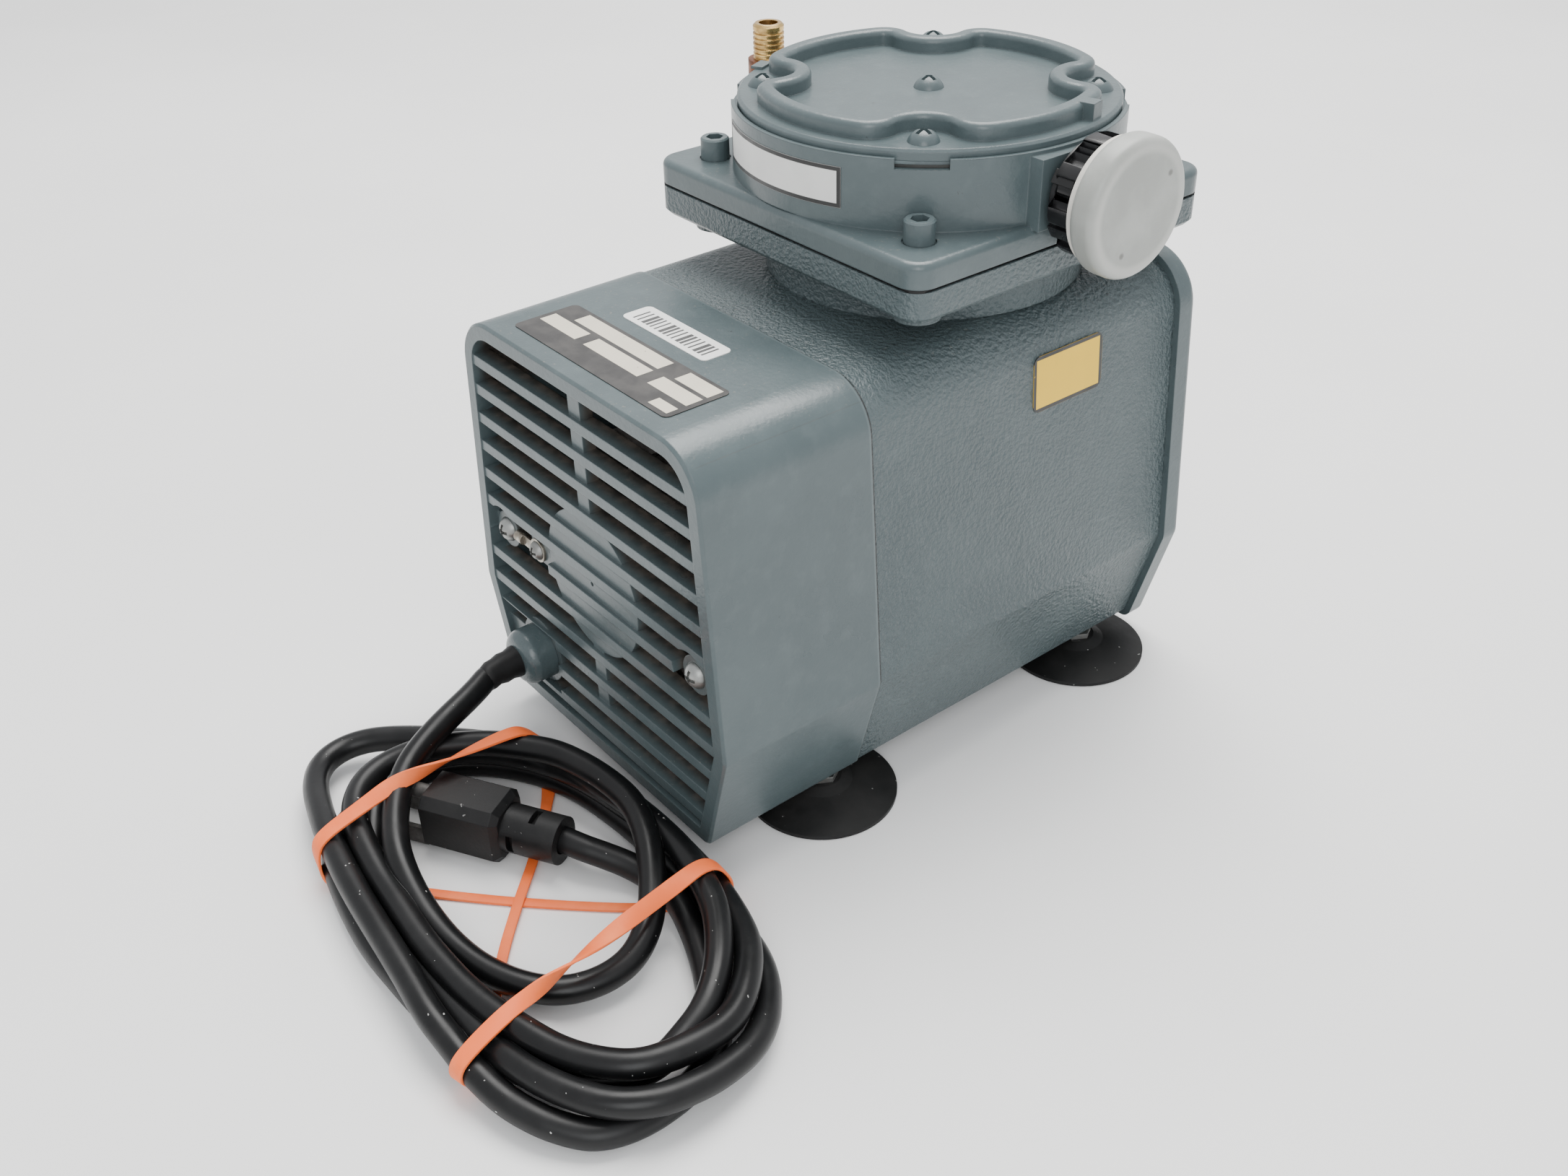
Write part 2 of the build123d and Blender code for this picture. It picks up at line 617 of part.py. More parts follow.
def make_stator_core():
    """The laminated stator ring with slots facing the rotor."""
    past = (STATOR_FRONT - CUT_PAST, STATOR_REAR + CUT_PAST)
    core = rod_y(STATOR_R, STATOR_FRONT, STATOR_REAR) - rod_y(STATOR_BORE_R, *past)
    radius = STATOR_BORE_R + SLOT_DEPTH
    for index in range(STATOR_SLOTS):
        angle = math.radians(360 * (index + 0.5) / STATOR_SLOTS)
        core -= rod_y(SLOT_R, *past, radius * math.cos(angle), SHAFT_Z + radius * math.sin(angle))
    return core


def make_windings():
    """The two copper end windings, one on each face of the stator."""
    rings = []
    for low in (STATOR_FRONT - WINDING_LENGTH, STATOR_REAR):
        high = low + WINDING_LENGTH
        rings.append(rod_y(WINDING_OUTER_R, low, high) - rod_y(WINDING_INNER_R, low - 1, high + 1))
    return rings


def make_front_bracket():
    """The four-armed bracket that holds the front bearing."""
    bracket = rod_y(BEARING_R + BRACKET_THICK, BRACKET_Y, BRACKET_Y + BEARING_WIDTH)
    for angle in (45, 135):
        arm = Box(2 * BRACKET_REACH, BRACKET_THICK, BRACKET_ARM)
        bracket += Pos(0, BRACKET_Y + BRACKET_THICK / 2, SHAFT_Z) * Rot(0, angle, 0) * arm
    for x, z in bracket_screw_points():
        bracket += rod_y(BRACKET_HEAD_R + 2.1, BRACKET_Y, SEAM_Y, x, z)
        bracket -= rod_y(BRACKET_SCREW_R + SCREW_GAP, BRACKET_Y - 1, SEAM_Y + 1, x, z)
    bracket -= rod_y(BEARING_R + PRESS_GAP, BRACKET_Y + BEARING_LIP, BRACKET_Y + BEARING_WIDTH + 1)
    return bracket - rod_y(BEARING_R - BEARING_LIP_R, BRACKET_Y - 1, BRACKET_Y + BEARING_LIP + 1)


def make_bracket_screws():
    """Four screws through the bracket's feet into the housing."""
    length = SEAM_Y - BRACKET_Y + BRACKET_SCREW_BITE
    screw = Rot(90, 0, 0) * round_head_screw(BRACKET_HEAD_R, BRACKET_SCREW_R, length)
    return [Pos(x, BRACKET_Y, z) * screw for x, z in bracket_screw_points()]


def make_bearing(y_low):
    """A ball bearing, shown as a ring with a groove in each face."""
    high = y_low + BEARING_WIDTH - BEARING_LIP
    ring = rod_y(BEARING_R, y_low, high) - rod_y(SHAFT_R + RUNNING_GAP, y_low - 1, high + 1)
    groove = rod_y(BEARING_R - BEARING_LIP_R, y_low - 1, y_low + 0.6)
    groove -= rod_y(SHAFT_R + BEARING_LIP_R, y_low - 2, y_low + 1)
    return ring - groove


def make_shaft():
    """The motor shaft, from the fan to the eccentric."""
    shaft = rod_y(SHAFT_R, FAN_FRONT - SHAFT_PAST_FAN, ECCENTRIC_END)
    return chamfer(shaft.edges().filter_by(GeomType.CIRCLE), 0.6)


def make_rotor_core():
    """The squirrel-cage rotor with its end rings."""
    radius = STATOR_BORE_R - AIR_GAP
    low = STATOR_FRONT - CAGE_RING
    high = STATOR_REAR + CAGE_RING
    core = rod_y(radius, STATOR_FRONT, STATOR_REAR) + rod_y(radius - CAGE_RING, low, high)
    return core - rod_y(SHAFT_R + PRESS_GAP, low - CUT_PAST, high + CUT_PAST)


def make_fan():
    """The cooling fan behind the grille: a back disc, a hub and radial blades."""
    back = FAN_FRONT + FAN_DEPTH
    fan = rod_y(FAN_R, back - FAN_BACK, back) + rod_y(FAN_HUB_R, FAN_FRONT, back)
    blade = Box(FAN_R - FAN_HUB_R, FAN_DEPTH - 1, FAN_BLADE_THICK)
    blade = Pos((FAN_R + FAN_HUB_R) / 2 - 1, 0, 0) * blade
    for index in range(FAN_BLADES):
        fan += Pos(0, FAN_FRONT + (FAN_DEPTH + 1) / 2, SHAFT_Z) * Rot(0, index * 360 / FAN_BLADES, 0) * blade
    return fan - rod_y(SHAFT_R + PRESS_GAP, FAN_FRONT - 1, back + 1)


def make_eccentric():
    """The eccentric: hub on the shaft, counterweight opposite and crank pin on top."""
    weight = rod_y(COUNTERWEIGHT_R, ECCENTRIC_Y, ECCENTRIC_Y + COUNTERWEIGHT_THICK)
    weight &= block((-COUNTERWEIGHT_R, COUNTERWEIGHT_R), (ECCENTRIC_Y, ECCENTRIC_END),
                    (SHAFT_Z - COUNTERWEIGHT_R, SHAFT_Z))
    body = rod_y(ECCENTRIC_HUB_R, ECCENTRIC_Y, ECCENTRIC_END) + weight
    body += rod_y(PIN_R, ECCENTRIC_END, ROD_Y + ROD_WIDTH, 0, PIN_Z)
    body -= rod_y(SHAFT_R + PRESS_GAP, ECCENTRIC_Y - 1, ECCENTRIC_END)
    return body - rod_y(PIN_SCREW_R + SCREW_GAP, ECCENTRIC_END + 2, ROD_Y + ROD_WIDTH + 1, 0, PIN_Z)


def make_pin_screw():
    """The screw and washer that keep the rod on the crank pin."""
    end = ROD_Y + ROD_WIDTH + LOOSE_GAP
    outside = end + PIN_WASHER_THICK
    screw = rod_y(PIN_R + 1.5, end, outside, 0, PIN_Z)
    screw += rod_y(PIN_R - 1, end - LOOSE_GAP, end, 0, PIN_Z)
    screw += rod_y(PIN_SCREW_R, ROD_Y + 3, end, 0, PIN_Z)
    return screw + sketch_at_y(Pos(0, PIN_Z) * hexagon(PIN_HEX_AF), outside, outside + PIN_HEX_THICK)


def make_rod_bearing():
    """The big-end bearing in the rod's eye."""
    ring = rod_y(ROD_BEARING_R, ROD_Y, ROD_Y + ROD_WIDTH, 0, PIN_Z)
    return ring - rod_y(PIN_R + RUNNING_GAP, ROD_Y - 1, ROD_Y + ROD_WIDTH + 1, 0, PIN_Z)


def make_connecting_rod():
    """The rod: an eye on the crank pin, a waisted shank and a round top flange."""
    eye = rod_y(ROD_EYE_R, ROD_Y, ROD_Y + ROD_WIDTH, 0, PIN_Z)
    shank = block((-ROD_SHANK / 2, ROD_SHANK / 2), (ROD_Y, ROD_Y + ROD_WIDTH), (PIN_Z, ROD_TOP))
    rod = eye + shank + rod_z(ROD_FLANGE_R, ROD_TOP - ROD_FLANGE_THICK, ROD_TOP)
    rod -= rod_y(ROD_BEARING_R + PRESS_GAP, ROD_Y - 1, ROD_Y + ROD_WIDTH + 1, 0, PIN_Z)
    return rod - rod_z(CLAMP_SCREW_R + SCREW_GAP, ROD_TOP - CLAMP_SCREW_BITE - 2, ROD_TOP + 1)


def make_lower_clamp():
    """The dished plate under the diaphragm."""
    plate = rod_z(CLAMP_R, ROD_TOP, DIAPHRAGM_Z)
    plate = chamfer(plate.faces().sort_by(Axis.Z)[0].edges(), 1.5)
    return plate - rod_z(CLAMP_SCREW_R + SCREW_GAP, ROD_TOP - 1, DIAPHRAGM_Z + 1)


def make_upper_clamp():
    """The plate on top of the diaphragm, countersunk for its screw."""
    plate = rod_z(CLAMP_R, TOP_PLATE_Z, TOP_PLATE_Z + CLAMP_THICK)
    plate = chamfer(plate.faces().sort_by(Axis.Z)[-1].edges(), 0.8)
    return plate - rod_z(CLAMP_SCREW_R + SCREW_GAP, TOP_PLATE_Z - 1, TOP_PLATE_Z + CLAMP_THICK + 1)


def make_clamp_screw():
    """The low-headed screw down through both clamp plates into the rod."""
    top = TOP_PLATE_Z + CLAMP_THICK
    head = rod_z(CLAMP_SCREW_R + 2.5, top, top + CLAMP_HEAD_THICK)
    head -= rod_z(CLAMP_SCREW_R / 2, top + CLAMP_HEAD_THICK / 3, top + 2)
    return head + rod_z(CLAMP_SCREW_R, ROD_TOP - CLAMP_SCREW_BITE, top)


# ---- Head -------------------------------------------------------------------------------------


def plate_solid(z_low, z_high):
    """A square plate with rounded corners about the head's centre."""
    outline = fillet(Rectangle(2 * PLATE_HALF, 2 * PLATE_HALF).vertices(), PLATE_CORNER_R)
    return Pos(0, HEAD_Y, z_low) * extrude(outline, amount=z_high - z_low)


def make_head_base():
    """The lower square plate with its round neck and corner bosses."""
    plate = plate_solid(BASE_PLATE_Z, DIAPHRAGM_Z)
    plate = chamfer(plate.faces().sort_by(Axis.Z)[0].edges(), 1.6)
    base = plate + rod_z(NECK_R, BODY_TOP - HOUSING_INSET, BASE_PLATE_Z)
    for x, y in corner_points(CAP_SCREW_OFFSET):
        base += rod_z(CORNER_BOSS_R, BASE_PLATE_Z - CORNER_BOSS_DROP, BASE_PLATE_Z + 1, x, y)
        base -= rod_z(CAP_SCREW_R + SCREW_GAP, BASE_PLATE_Z - CORNER_BOSS_DROP - 1, DIAPHRAGM_Z + 1, x, y)
    return base - rod_z(NECK_BORE_R, BODY_TOP - HOUSING_INSET - 1, DIAPHRAGM_Z + 1)


def make_diaphragm():
    """The rubber diaphragm sheet between the two plates."""
    sheet = plate_solid(DIAPHRAGM_Z, TOP_PLATE_Z)
    side = 2 * (PLATE_HALF - DIAPHRAGM_TRIM)
    sheet &= Pos(0, HEAD_Y, DIAPHRAGM_Z) * extrude(Rectangle(side, side), amount=DIAPHRAGM_THICK)
    for x, y in corner_points(CAP_SCREW_OFFSET):
        sheet -= rod_z(CAP_SCREW_R + SCREW_GAP, DIAPHRAGM_Z - 1, TOP_PLATE_Z + 1, x, y)
    return sheet - rod_z(CLAMP_SCREW_R + SCREW_GAP, DIAPHRAGM_Z - 1, TOP_PLATE_Z + 1)


def plenum_shape(radius, z_low, z_high):
    """The two half-round spaces under the lid, clear of the wall between them and of the screw bosses."""
    space = rod_z(radius, z_low, z_high)
    past = (z_low - CUT_PAST, z_high + CUT_PAST)
    space -= block((-PLENUM_WALL / 2, PLENUM_WALL / 2), (HEAD_Y - radius - 1, HEAD_Y + radius + 1), past)
    space -= rod_z(CENTRE_BOSS_R, *past)
    for x, y in lid_screw_points():
        space -= rod_z(LID_SCREW_R + LID_BOSS_WALL, *past, x, y)
    return space


def make_head_casting():
    """The upper plate and round valve head with its ports, deck and plenums."""
    plate = plate_solid(TOP_PLATE_Z, HEAD_Z)
    plate = fillet(plate.faces().sort_by(Axis.Z)[-1].edges(), 2.2)
    head = plate + rod_z(HEAD_R, HEAD_Z, SEAT_Z + HEAD_RIM)
    port_y = (HEAD_Y - PORT_BOSS_HALF, HEAD_Y + PORT_BOSS_HALF)
    for side in (-1, 1):
        head += block((side * PORT_BOSS_START, side * PORT_FACE_X)[::side], port_y,
                      (HEAD_Z - 1, SEAT_Z + HEAD_RIM - 1))
    head -= rod_z(LID_R + LOOSE_GAP, SEAT_Z, SEAT_Z + HEAD_RIM + 1)
    head -= rod_z(CHAMBER_R, TOP_PLATE_Z - 1, DECK_Z)
    head -= plenum_shape(PLENUM_R, DECK_TOP, SEAT_Z + CUT_PAST)
    for angle in (45, 135, 225, 315):
        notch = Pos(HEAD_R + 1, 0, SEAT_Z + HEAD_RIM) * Box(14, NOTCH_WIDTH, 2 * HEAD_RIM)
        head -= Pos(0, HEAD_Y, 0) * Rot(0, 0, angle) * notch
    for x, y in corner_points(CAP_SCREW_OFFSET):
        head -= rod_z(CAP_SCREW_R + SCREW_GAP, TOP_PLATE_Z - 1, HEAD_Z + 1, x, y)
        head -= rod_z(CAP_HEAD_R + LOOSE_GAP, CAP_SEAT_Z, HEAD_Z + CAP_HEAD_HEIGHT + 1, x, y)
    for x, y in lid_screw_points() + [(0, HEAD_Y)]:
        head -= rod_z(LID_SCREW_R + SCREW_GAP, SEAT_Z - LID_SCREW_BITE - 1, SEAT_Z + 1, x, y)
    for side in (-1, 1):
        bore_x = sorted((side * (PLENUM_R - 5), side * (PORT_FACE_X + CUT_PAST)))
        head -= rod_x(PORT_R + SCREW_GAP, *bore_x)
        head -= rod_z(VALVE_PORT_R, DECK_Z - 1, DECK_TOP + 1, side * VALVE_X)
        head -= rod_z(REED_SCREW_R + SCREW_GAP, DECK_Z - 1, DECK_TOP + 1, side * VALVE_X, REED_SCREW_Y)
    return head


def reed_strip(z_low):
    """A reed: a thin strip from its clamped root to past its port."""
    low = REED_SCREW_Y + REED_WIDTH / 2 - REED_LENGTH
    high = REED_SCREW_Y - REED_CLAMP_HALF
    return block((-REED_WIDTH / 2, REED_WIDTH / 2), (low, high), (z_low, z_low + REED_THICK))


def make_intake_reed():
    """The inlet reed, under the deck, which opens down into the chamber."""
    return Pos(VALVE_X, 0, 0) * reed_strip(DECK_Z - REED_GAP - REED_THICK)


def make_exhaust_reed():
    """The outlet reed, on top of the deck, which opens up into the plenum."""
    return Pos(-VALVE_X, 0, 0) * reed_strip(DECK_TOP + REED_GAP)


def reed_clamp(z_low, z_high, x):
    """The clamped root of a reed with its backing strip."""
    clamp_y = (REED_SCREW_Y - REED_CLAMP_HALF + REED_GAP, REED_SCREW_Y + REED_CLAMP_HALF)
    clamp = block((x - REED_WIDTH / 2, x + REED_WIDTH / 2), clamp_y, (z_low, z_high))
    return clamp - rod_z(REED_SCREW_R + SCREW_GAP, z_low - 1, z_high + 1, x, REED_SCREW_Y)


def make_reed_clamps():
    """The clamp strips of the inlet reed, under the deck, and of the outlet reed, on top of it."""
    intake = reed_clamp(DECK_Z - REED_CLAMP_THICK, DECK_Z, VALVE_X)
    exhaust = reed_clamp(DECK_TOP, DECK_TOP + REED_CLAMP_THICK, -VALVE_X)
    return [intake, exhaust]


def make_reed_screws():
    """One small screw for each reed clamp, both driven from the plenum side."""
    screws = []
    for x, tip, seat in ((VALVE_X, DECK_Z - REED_CLAMP_THICK, DECK_TOP),
                         (-VALVE_X, DECK_Z + REED_THICK, DECK_TOP + REED_CLAMP_THICK)):
        head = rod_z(REED_HEAD_R, seat, seat + REED_HEAD_THICK, x, REED_SCREW_Y)
        screws.append(head + rod_z(REED_SCREW_R, tip, seat, x, REED_SCREW_Y))
    return screws


def make_cap_screws():
    """Four socket-head screws through both plates, their tips below the corner bosses."""
    screws = []
    for x, y in corner_points(CAP_SCREW_OFFSET):
        head = rod_z(CAP_HEAD_R, CAP_SEAT_Z, CAP_SEAT_Z + CAP_HEAD_HEIGHT, x, y)
        head = chamfer(head.faces().sort_by(Axis.Z)[-1].edges(), 0.5)
        socket = Pos(x, y, CAP_SEAT_Z + CAP_HEAD_HEIGHT - CAP_SOCKET_DEPTH) * extrude(
            hexagon(CAP_SOCKET_AF), amount=CAP_SOCKET_DEPTH + CUT_PAST)
        tip = BASE_PLATE_Z - CORNER_BOSS_DROP - CAP_TIP
        screws.append(head + rod_z(CAP_SCREW_R, tip, CAP_SEAT_Z, x, y) - socket)
    return screws


def lid_layer(z_low, thickness, radius):
    """A flat round layer of the lid stack with its five screw holes."""
    layer = rod_z(radius, z_low, z_low + thickness)
    for x, y in lid_screw_points() + [(0, HEAD_Y)]:
        layer -= rod_z(LID_SCREW_R + SCREW_GAP, z_low - 1, z_low + thickness + 1, x, y)
    return layer


def make_gasket():
    """The gasket ring between the head and the baffle plate."""
    ring = lid_layer(GASKET_Z, GASKET_THICK, LID_R)
    return ring - plenum_shape(PLENUM_R - 1, GASKET_Z - CUT_PAST, BAFFLE_Z + CUT_PAST)


def make_baffle_plate():
    """The thin plate under the lid."""
    return lid_layer(BAFFLE_Z, BAFFLE_THICK, LID_R)


def bead_outline(outward):
    """The bead's centre line moved outward: a circle that curls in round each lid screw."""
    outline = Sketch() + Circle(BEAD_R + outward)
    for x, y in lid_screw_points():
        outline -= Pos(x, y - HEAD_Y) * Circle(BEAD_CURL_R - outward)
    return fillet(outline.vertices(), BEAD_BLEND_R + outward)


def make_lid():
    """The round lid with its raised four-lobed bead."""
    flange = lid_layer(LID_Z, LID_FLANGE, LID_R)
    flange = chamfer(flange.faces().sort_by(Axis.Z)[-1].edges().sort_by(SortBy.LENGTH)[-1], 0.8)
    bead = extrude(bead_outline(BEAD_HALF) - bead_outline(-BEAD_HALF), amount=BEAD_HEIGHT)
    bead = fillet(bead.faces().sort_by(Axis.Z)[-1].edges(), BEAD_HALF * 0.7)
    lid = flange + Pos(0, HEAD_Y, LID_TOP) * bead
    pointer = Pos(POINTER_R, 0, LID_TOP + BEAD_HEIGHT / 2) * Box(POINTER_LENGTH, POINTER_WIDTH, BEAD_HEIGHT)
    lid += Pos(0, HEAD_Y, 0) * Rot(0, 0, POINTER_ANGLE) * pointer
    lug = Box(LUG_LENGTH, LUG_WIDTH, LUG_HEIGHT)
    lug = Pos(LID_R - LUG_LENGTH / 2 + 0.5, 0, LID_TOP + LUG_HEIGHT / 2) * lug
    for angle in LUG_ANGLES:
        lid += Pos(0, HEAD_Y, 0) * Rot(0, 0, angle) * lug
    return lid


def make_lid_screws():
    """Round-head screws on the lid's diagonals and one in its middle."""
    screw = round_head_screw(LID_HEAD_R, LID_SCREW_R, LID_TOP - SEAT_Z + LID_SCREW_BITE)
    return [Pos(x, y, LID_TOP) * screw for x, y in lid_screw_points() + [(0, HEAD_Y)]]


# ---- Filter and fitting -----------------------------------------------------------------------


def make_filter_body():
    """The black filter base: threaded spigot, ribbed disc and an open mouth for the felt."""
    body = rod_x(PORT_R, PORT_FACE_X - SPIGOT_LENGTH, PORT_FACE_X + 1)
    mouth = FILTER_CAP_X + FILTER_MOUTH
    body += rod_x(FILTER_BODY_R - 3, PORT_FACE_X, mouth)
    body += rod_x(FILTER_BODY_R, PORT_FACE_X + 2, PORT_FACE_X + 4)
    lug = block((PORT_FACE_X + 2, FILTER_CAP_X), (-FILTER_LUG_WIDTH / 2, FILTER_LUG_WIDTH / 2),
                (FILTER_BODY_R - 4, FILTER_BODY_R + 1))
    for index in range(FILTER_LUGS):
        body += Pos(0, HEAD_Y, PORT_Z) * Rot(index * 360 / FILTER_LUGS, 0, 0) * lug
    body &= rod_x(FILTER_BODY_R + 1, PORT_FACE_X - SPIGOT_LENGTH, mouth)
    return body - rod_x(FILTER_BORE_R, PORT_FACE_X - SPIGOT_LENGTH - 1, mouth + 1)


def make_filter_felt():
    """The felt disc inside the cap."""
    low = FILTER_CAP_X + FILTER_MOUTH
    return rod_x(FILTER_CAP_R - FILTER_CAP_WALL - SEAT_GAP, low, low + FELT_THICK)


def make_filter_cap():
    """The frosted round cap with its domed face and rounded edge."""
    cap = rod_x(FILTER_CAP_R, FILTER_CAP_X, REACH_X)
    cap = fillet(cap.faces().sort_by(Axis.X)[-1].edges(), CAP_EDGE_R)
    cap = fillet(cap.faces().sort_by(Axis.X)[0].edges(), 1.2)
    mouth = FILTER_CAP_X + FILTER_MOUTH
    cap -= rod_x(FILTER_CAP_R - FILTER_CAP_WALL, mouth, REACH_X - FILTER_CAP_WALL - CAP_EDGE_R + 0.5)
    return cap - rod_x(FILTER_BODY_R + 1 + SEAT_GAP, FILTER_CAP_X - 1, mouth + 0.5)


def make_elbow():
    """The brown elbow on the outlet port, turning up to the brass fitting."""
    run = rod_x(PORT_R, -PORT_FACE_X, -(PORT_FACE_X - SPIGOT_LENGTH))
    run += rod_x(ELBOW_R, -FITTING_X, -PORT_FACE_X)
    riser = rod_z(ELBOW_R, PORT_Z, ELBOW_TOP, -FITTING_X) + Pos(-FITTING_X, HEAD_Y, PORT_Z) * Sphere(ELBOW_R)
    elbow = run + riser
    elbow -= rod_x(FITTING_BORE_R, -FITTING_X, -(PORT_FACE_X - SPIGOT_LENGTH - 1))
    elbow -= rod_z(FITTING_BORE_R, PORT_Z - 1, ELBOW_TOP + 1, -FITTING_X)
    return elbow - rod_z(FITTING_R - 1 + SEAT_GAP, ELBOW_TOP - FITTING_SPIGOT, ELBOW_TOP + 1, -FITTING_X)


def make_brass_fitting():
    """The male threaded fitting that a hose nut screws on to."""
    fitting = rod_z(FITTING_R - 1, ELBOW_TOP - FITTING_SPIGOT, ELBOW_TOP, -FITTING_X)
    fitting += rod_z(FITTING_R, ELBOW_TOP, FITTING_TOP, -FITTING_X)
    fitting = chamfer(fitting.faces().sort_by(Axis.Z)[-1].edges(), 0.8)
    for index in range(THREAD_TURNS):
        z = FITTING_TOP - FIRST_THREAD_DROP - index * THREAD_PITCH
        groove = rod_z(FITTING_R + 1, z - THREAD_PITCH * 0.3, z + THREAD_PITCH * 0.3, -FITTING_X)
        groove -= rod_z(FITTING_R - THREAD_DEPTH, z - THREAD_PITCH, z + THREAD_PITCH, -FITTING_X)
        fitting -= groove
    return fitting - rod_z(FITTING_BORE_R, ELBOW_TOP - FITTING_SPIGOT - 1, FITTING_TOP + 1, -FITTING_X)


# ---- Feet -------------------------------------------------------------------------------------


def foot_points():
    """Where the four feet stand, by name."""
    return {
        "front_left": (-FOOT_X, FRONT_FOOT_Y),
        "front_right": (FOOT_X, FRONT_FOOT_Y),
        "rear_left": (-FOOT_X, REAR_FOOT_Y),
        "rear_right": (FOOT_X, REAR_FOOT_Y),
    }


def make_foot_cup(x, y):
    """A rubber suction cup: thin rim, sloping skirt and a hub under the body."""
    hub_top = BODY_BOTTOM - FOOT_NUT_THICK
    outline = Polyline((0, 1.5), (FOOT_HUB_R, 2.2), (FOOT_R - 2.2, 0), (FOOT_R, 0), (FOOT_R, FOOT_RIM),
                       (FOOT_HUB_R + 3.5, 4.6), (FOOT_HUB_R, hub_top), (0, hub_top), close=True)
    cup = revolve(Plane.XZ * make_face(outline), axis=Axis.Z)
    cup -= Pos(0, 0, hub_top - STUD_DEPTH / 2) * Cylinder(STUD_R, STUD_DEPTH)
    return Pos(x, y, 0) * cup


def make_foot_studs():
    """The four studs bonded into the cups."""
    low = BODY_BOTTOM - FOOT_NUT_THICK - STUD_DEPTH
    return [rod_z(STUD_R, low, STUD_TOP, x, y) for x, y in foot_points().values()]


def make_foot_nuts():
    """The four nuts between the cups and the body."""
    nuts = []
    for x, y in foot_points().values():
        nut = Pos(x, y, BODY_BOTTOM - FOOT_NUT_THICK) * extrude(hexagon(FOOT_NUT_AF), amount=FOOT_NUT_THICK)
        nuts.append(nut - rod_z(STUD_R + PRESS_GAP, 0, BODY_BOTTOM + 1, x, y))
    return nuts


# ---- Labels -----------------------------------------------------------------------------------


def flat_label(centre, size):
    """A thin label lying on the cover's flat top."""
    outline = fillet(Rectangle(*size).vertices(), 2.0)
    return Pos(centre[0], centre[1], BODY_TOP) * extrude(outline, amount=LABEL_THICK)


def make_head_label():
    """The curved label on the head's wall, centred between the grille and the outlet side."""
    top = SEAT_Z - HEAD_LABEL_DROP
    band = rod_z(HEAD_R + LABEL_THICK, top - HEAD_LABEL_HEIGHT, top) - rod_z(HEAD_R, HEAD_Z, SEAT_Z)
    wedge = make_face(Polyline((0, 0), label_ray(HEAD_LABEL_LEFT), label_ray(HEAD_LABEL_RIGHT), close=True))
    return band & (Pos(0, HEAD_Y, 0) * extrude(wedge, amount=SEAT_Z))


def label_ray(angle):
    """A point well outside the head at an angle, for cutting the label."""
    return (2 * HEAD_R * math.cos(math.radians(angle)), 2 * HEAD_R * math.sin(math.radians(angle)))


def make_side_label():
    """The rounded label on the housing's sloping side."""
    outline = fillet(Rectangle(*SIDE_LABEL_SIZE).vertices(), SIDE_LABEL_CORNER)
    slope = math.atan2(KINK_HALF - TOP_HALF, BODY_TOP - KINK_Z)
    side_x = KINK_HALF - (SIDE_LABEL_Z - KINK_Z) * math.tan(slope) - HOUSING_INSET / math.cos(slope)
    outward = (math.cos(slope), 0, math.sin(slope))
    side = Plane(origin=(side_x, SIDE_LABEL_Y, SIDE_LABEL_Z), x_dir=(0, 1, 0), z_dir=outward)
    return side * extrude(outline, amount=LABEL_THICK)


# ---- Mains lead -------------------------------------------------------------------------------


def circle_hull(circles):
    """The outline stretched round a set of circles given as x, y and radius."""
    edges = []
    for x, y, radius in circles:
        edges += (Pos(x, y) * Circle(radius)).edges()
    return make_hull(edges)


def plug_frame():
    """The plug's place: local X runs from its blades towards the cord."""
    return Pos(PLUG_CENTRE[0], PLUG_CENTRE[1], PLUG_HEIGHT / 2) * Rot(0, 0, PLUG_ANGLE)


def make_cord_coil():
    """The outer shape of the coiled lead, with a pocket for the plug's blades."""
    ring = extrude(circle_hull(COIL_OUTLINE), amount=COIL_HEIGHT)
    ring -= extrude(circle_hull(COIL_HOLE), amount=COIL_HEIGHT)
    ring = fillet(ring.faces().sort_by(Axis.Z)[-1].edges(), CORD_R)
    ring = Pos(0, 0, COIL_BOTTOM) * ring
    pocket = Box(BLADE_LENGTH + POCKET_ROOM, BLADE_SPACING + POCKET_ROOM, PLUG_HEIGHT + 2 * POCKET_ROOM)
    return ring - plug_frame() * Pos(-(PLUG_LENGTH + BLADE_LENGTH) / 2, 0, 0) * pocket


def make_plug_body():
    """The moulded plug body."""
    body = Box(PLUG_LENGTH, PLUG_WIDTH, PLUG_HEIGHT)
    body = chamfer(body.edges().filter_by(Axis.X), PLUG_EDGE)
    body = chamfer(body.faces().sort_by(Axis.X)[-1].edges(), PLUG_SHOULDER)
    return plug_frame() * body


def make_plug_neck():
    """The plug's round strain relief with its slots."""
    neck = Rot(0, 90, 0) * Cylinder(PLUG_NECK_R, PLUG_NECK_LENGTH)
    neck = Pos((PLUG_LENGTH + PLUG_NECK_LENGTH) / 2, 0, 0) * neck
    slot = Box(NECK_SLOT_WIDTH, 2 * PLUG_NECK_R, NECK_SLOT_HEIGHT)
    slot -= Box(NECK_SLOT_WIDTH, 2 * (PLUG_NECK_R - NECK_SLOT_DEPTH), NECK_SLOT_HEIGHT)
    for index in range(2):
        x = PLUG_LENGTH / 2 + NECK_SLOT_FIRST + index * NECK_SLOT_PITCH
        neck -= Pos(x, 0, 0) * Rot(index * 90, 0, 0) * slot
    bore = Pos(PLUG_LENGTH / 2 + PLUG_NECK_LENGTH, 0, 0) * Rot(0, 90, 0) * Cylinder(CORD_R + SEAT_GAP, 4.0)
    return plug_frame() * (neck - bore)


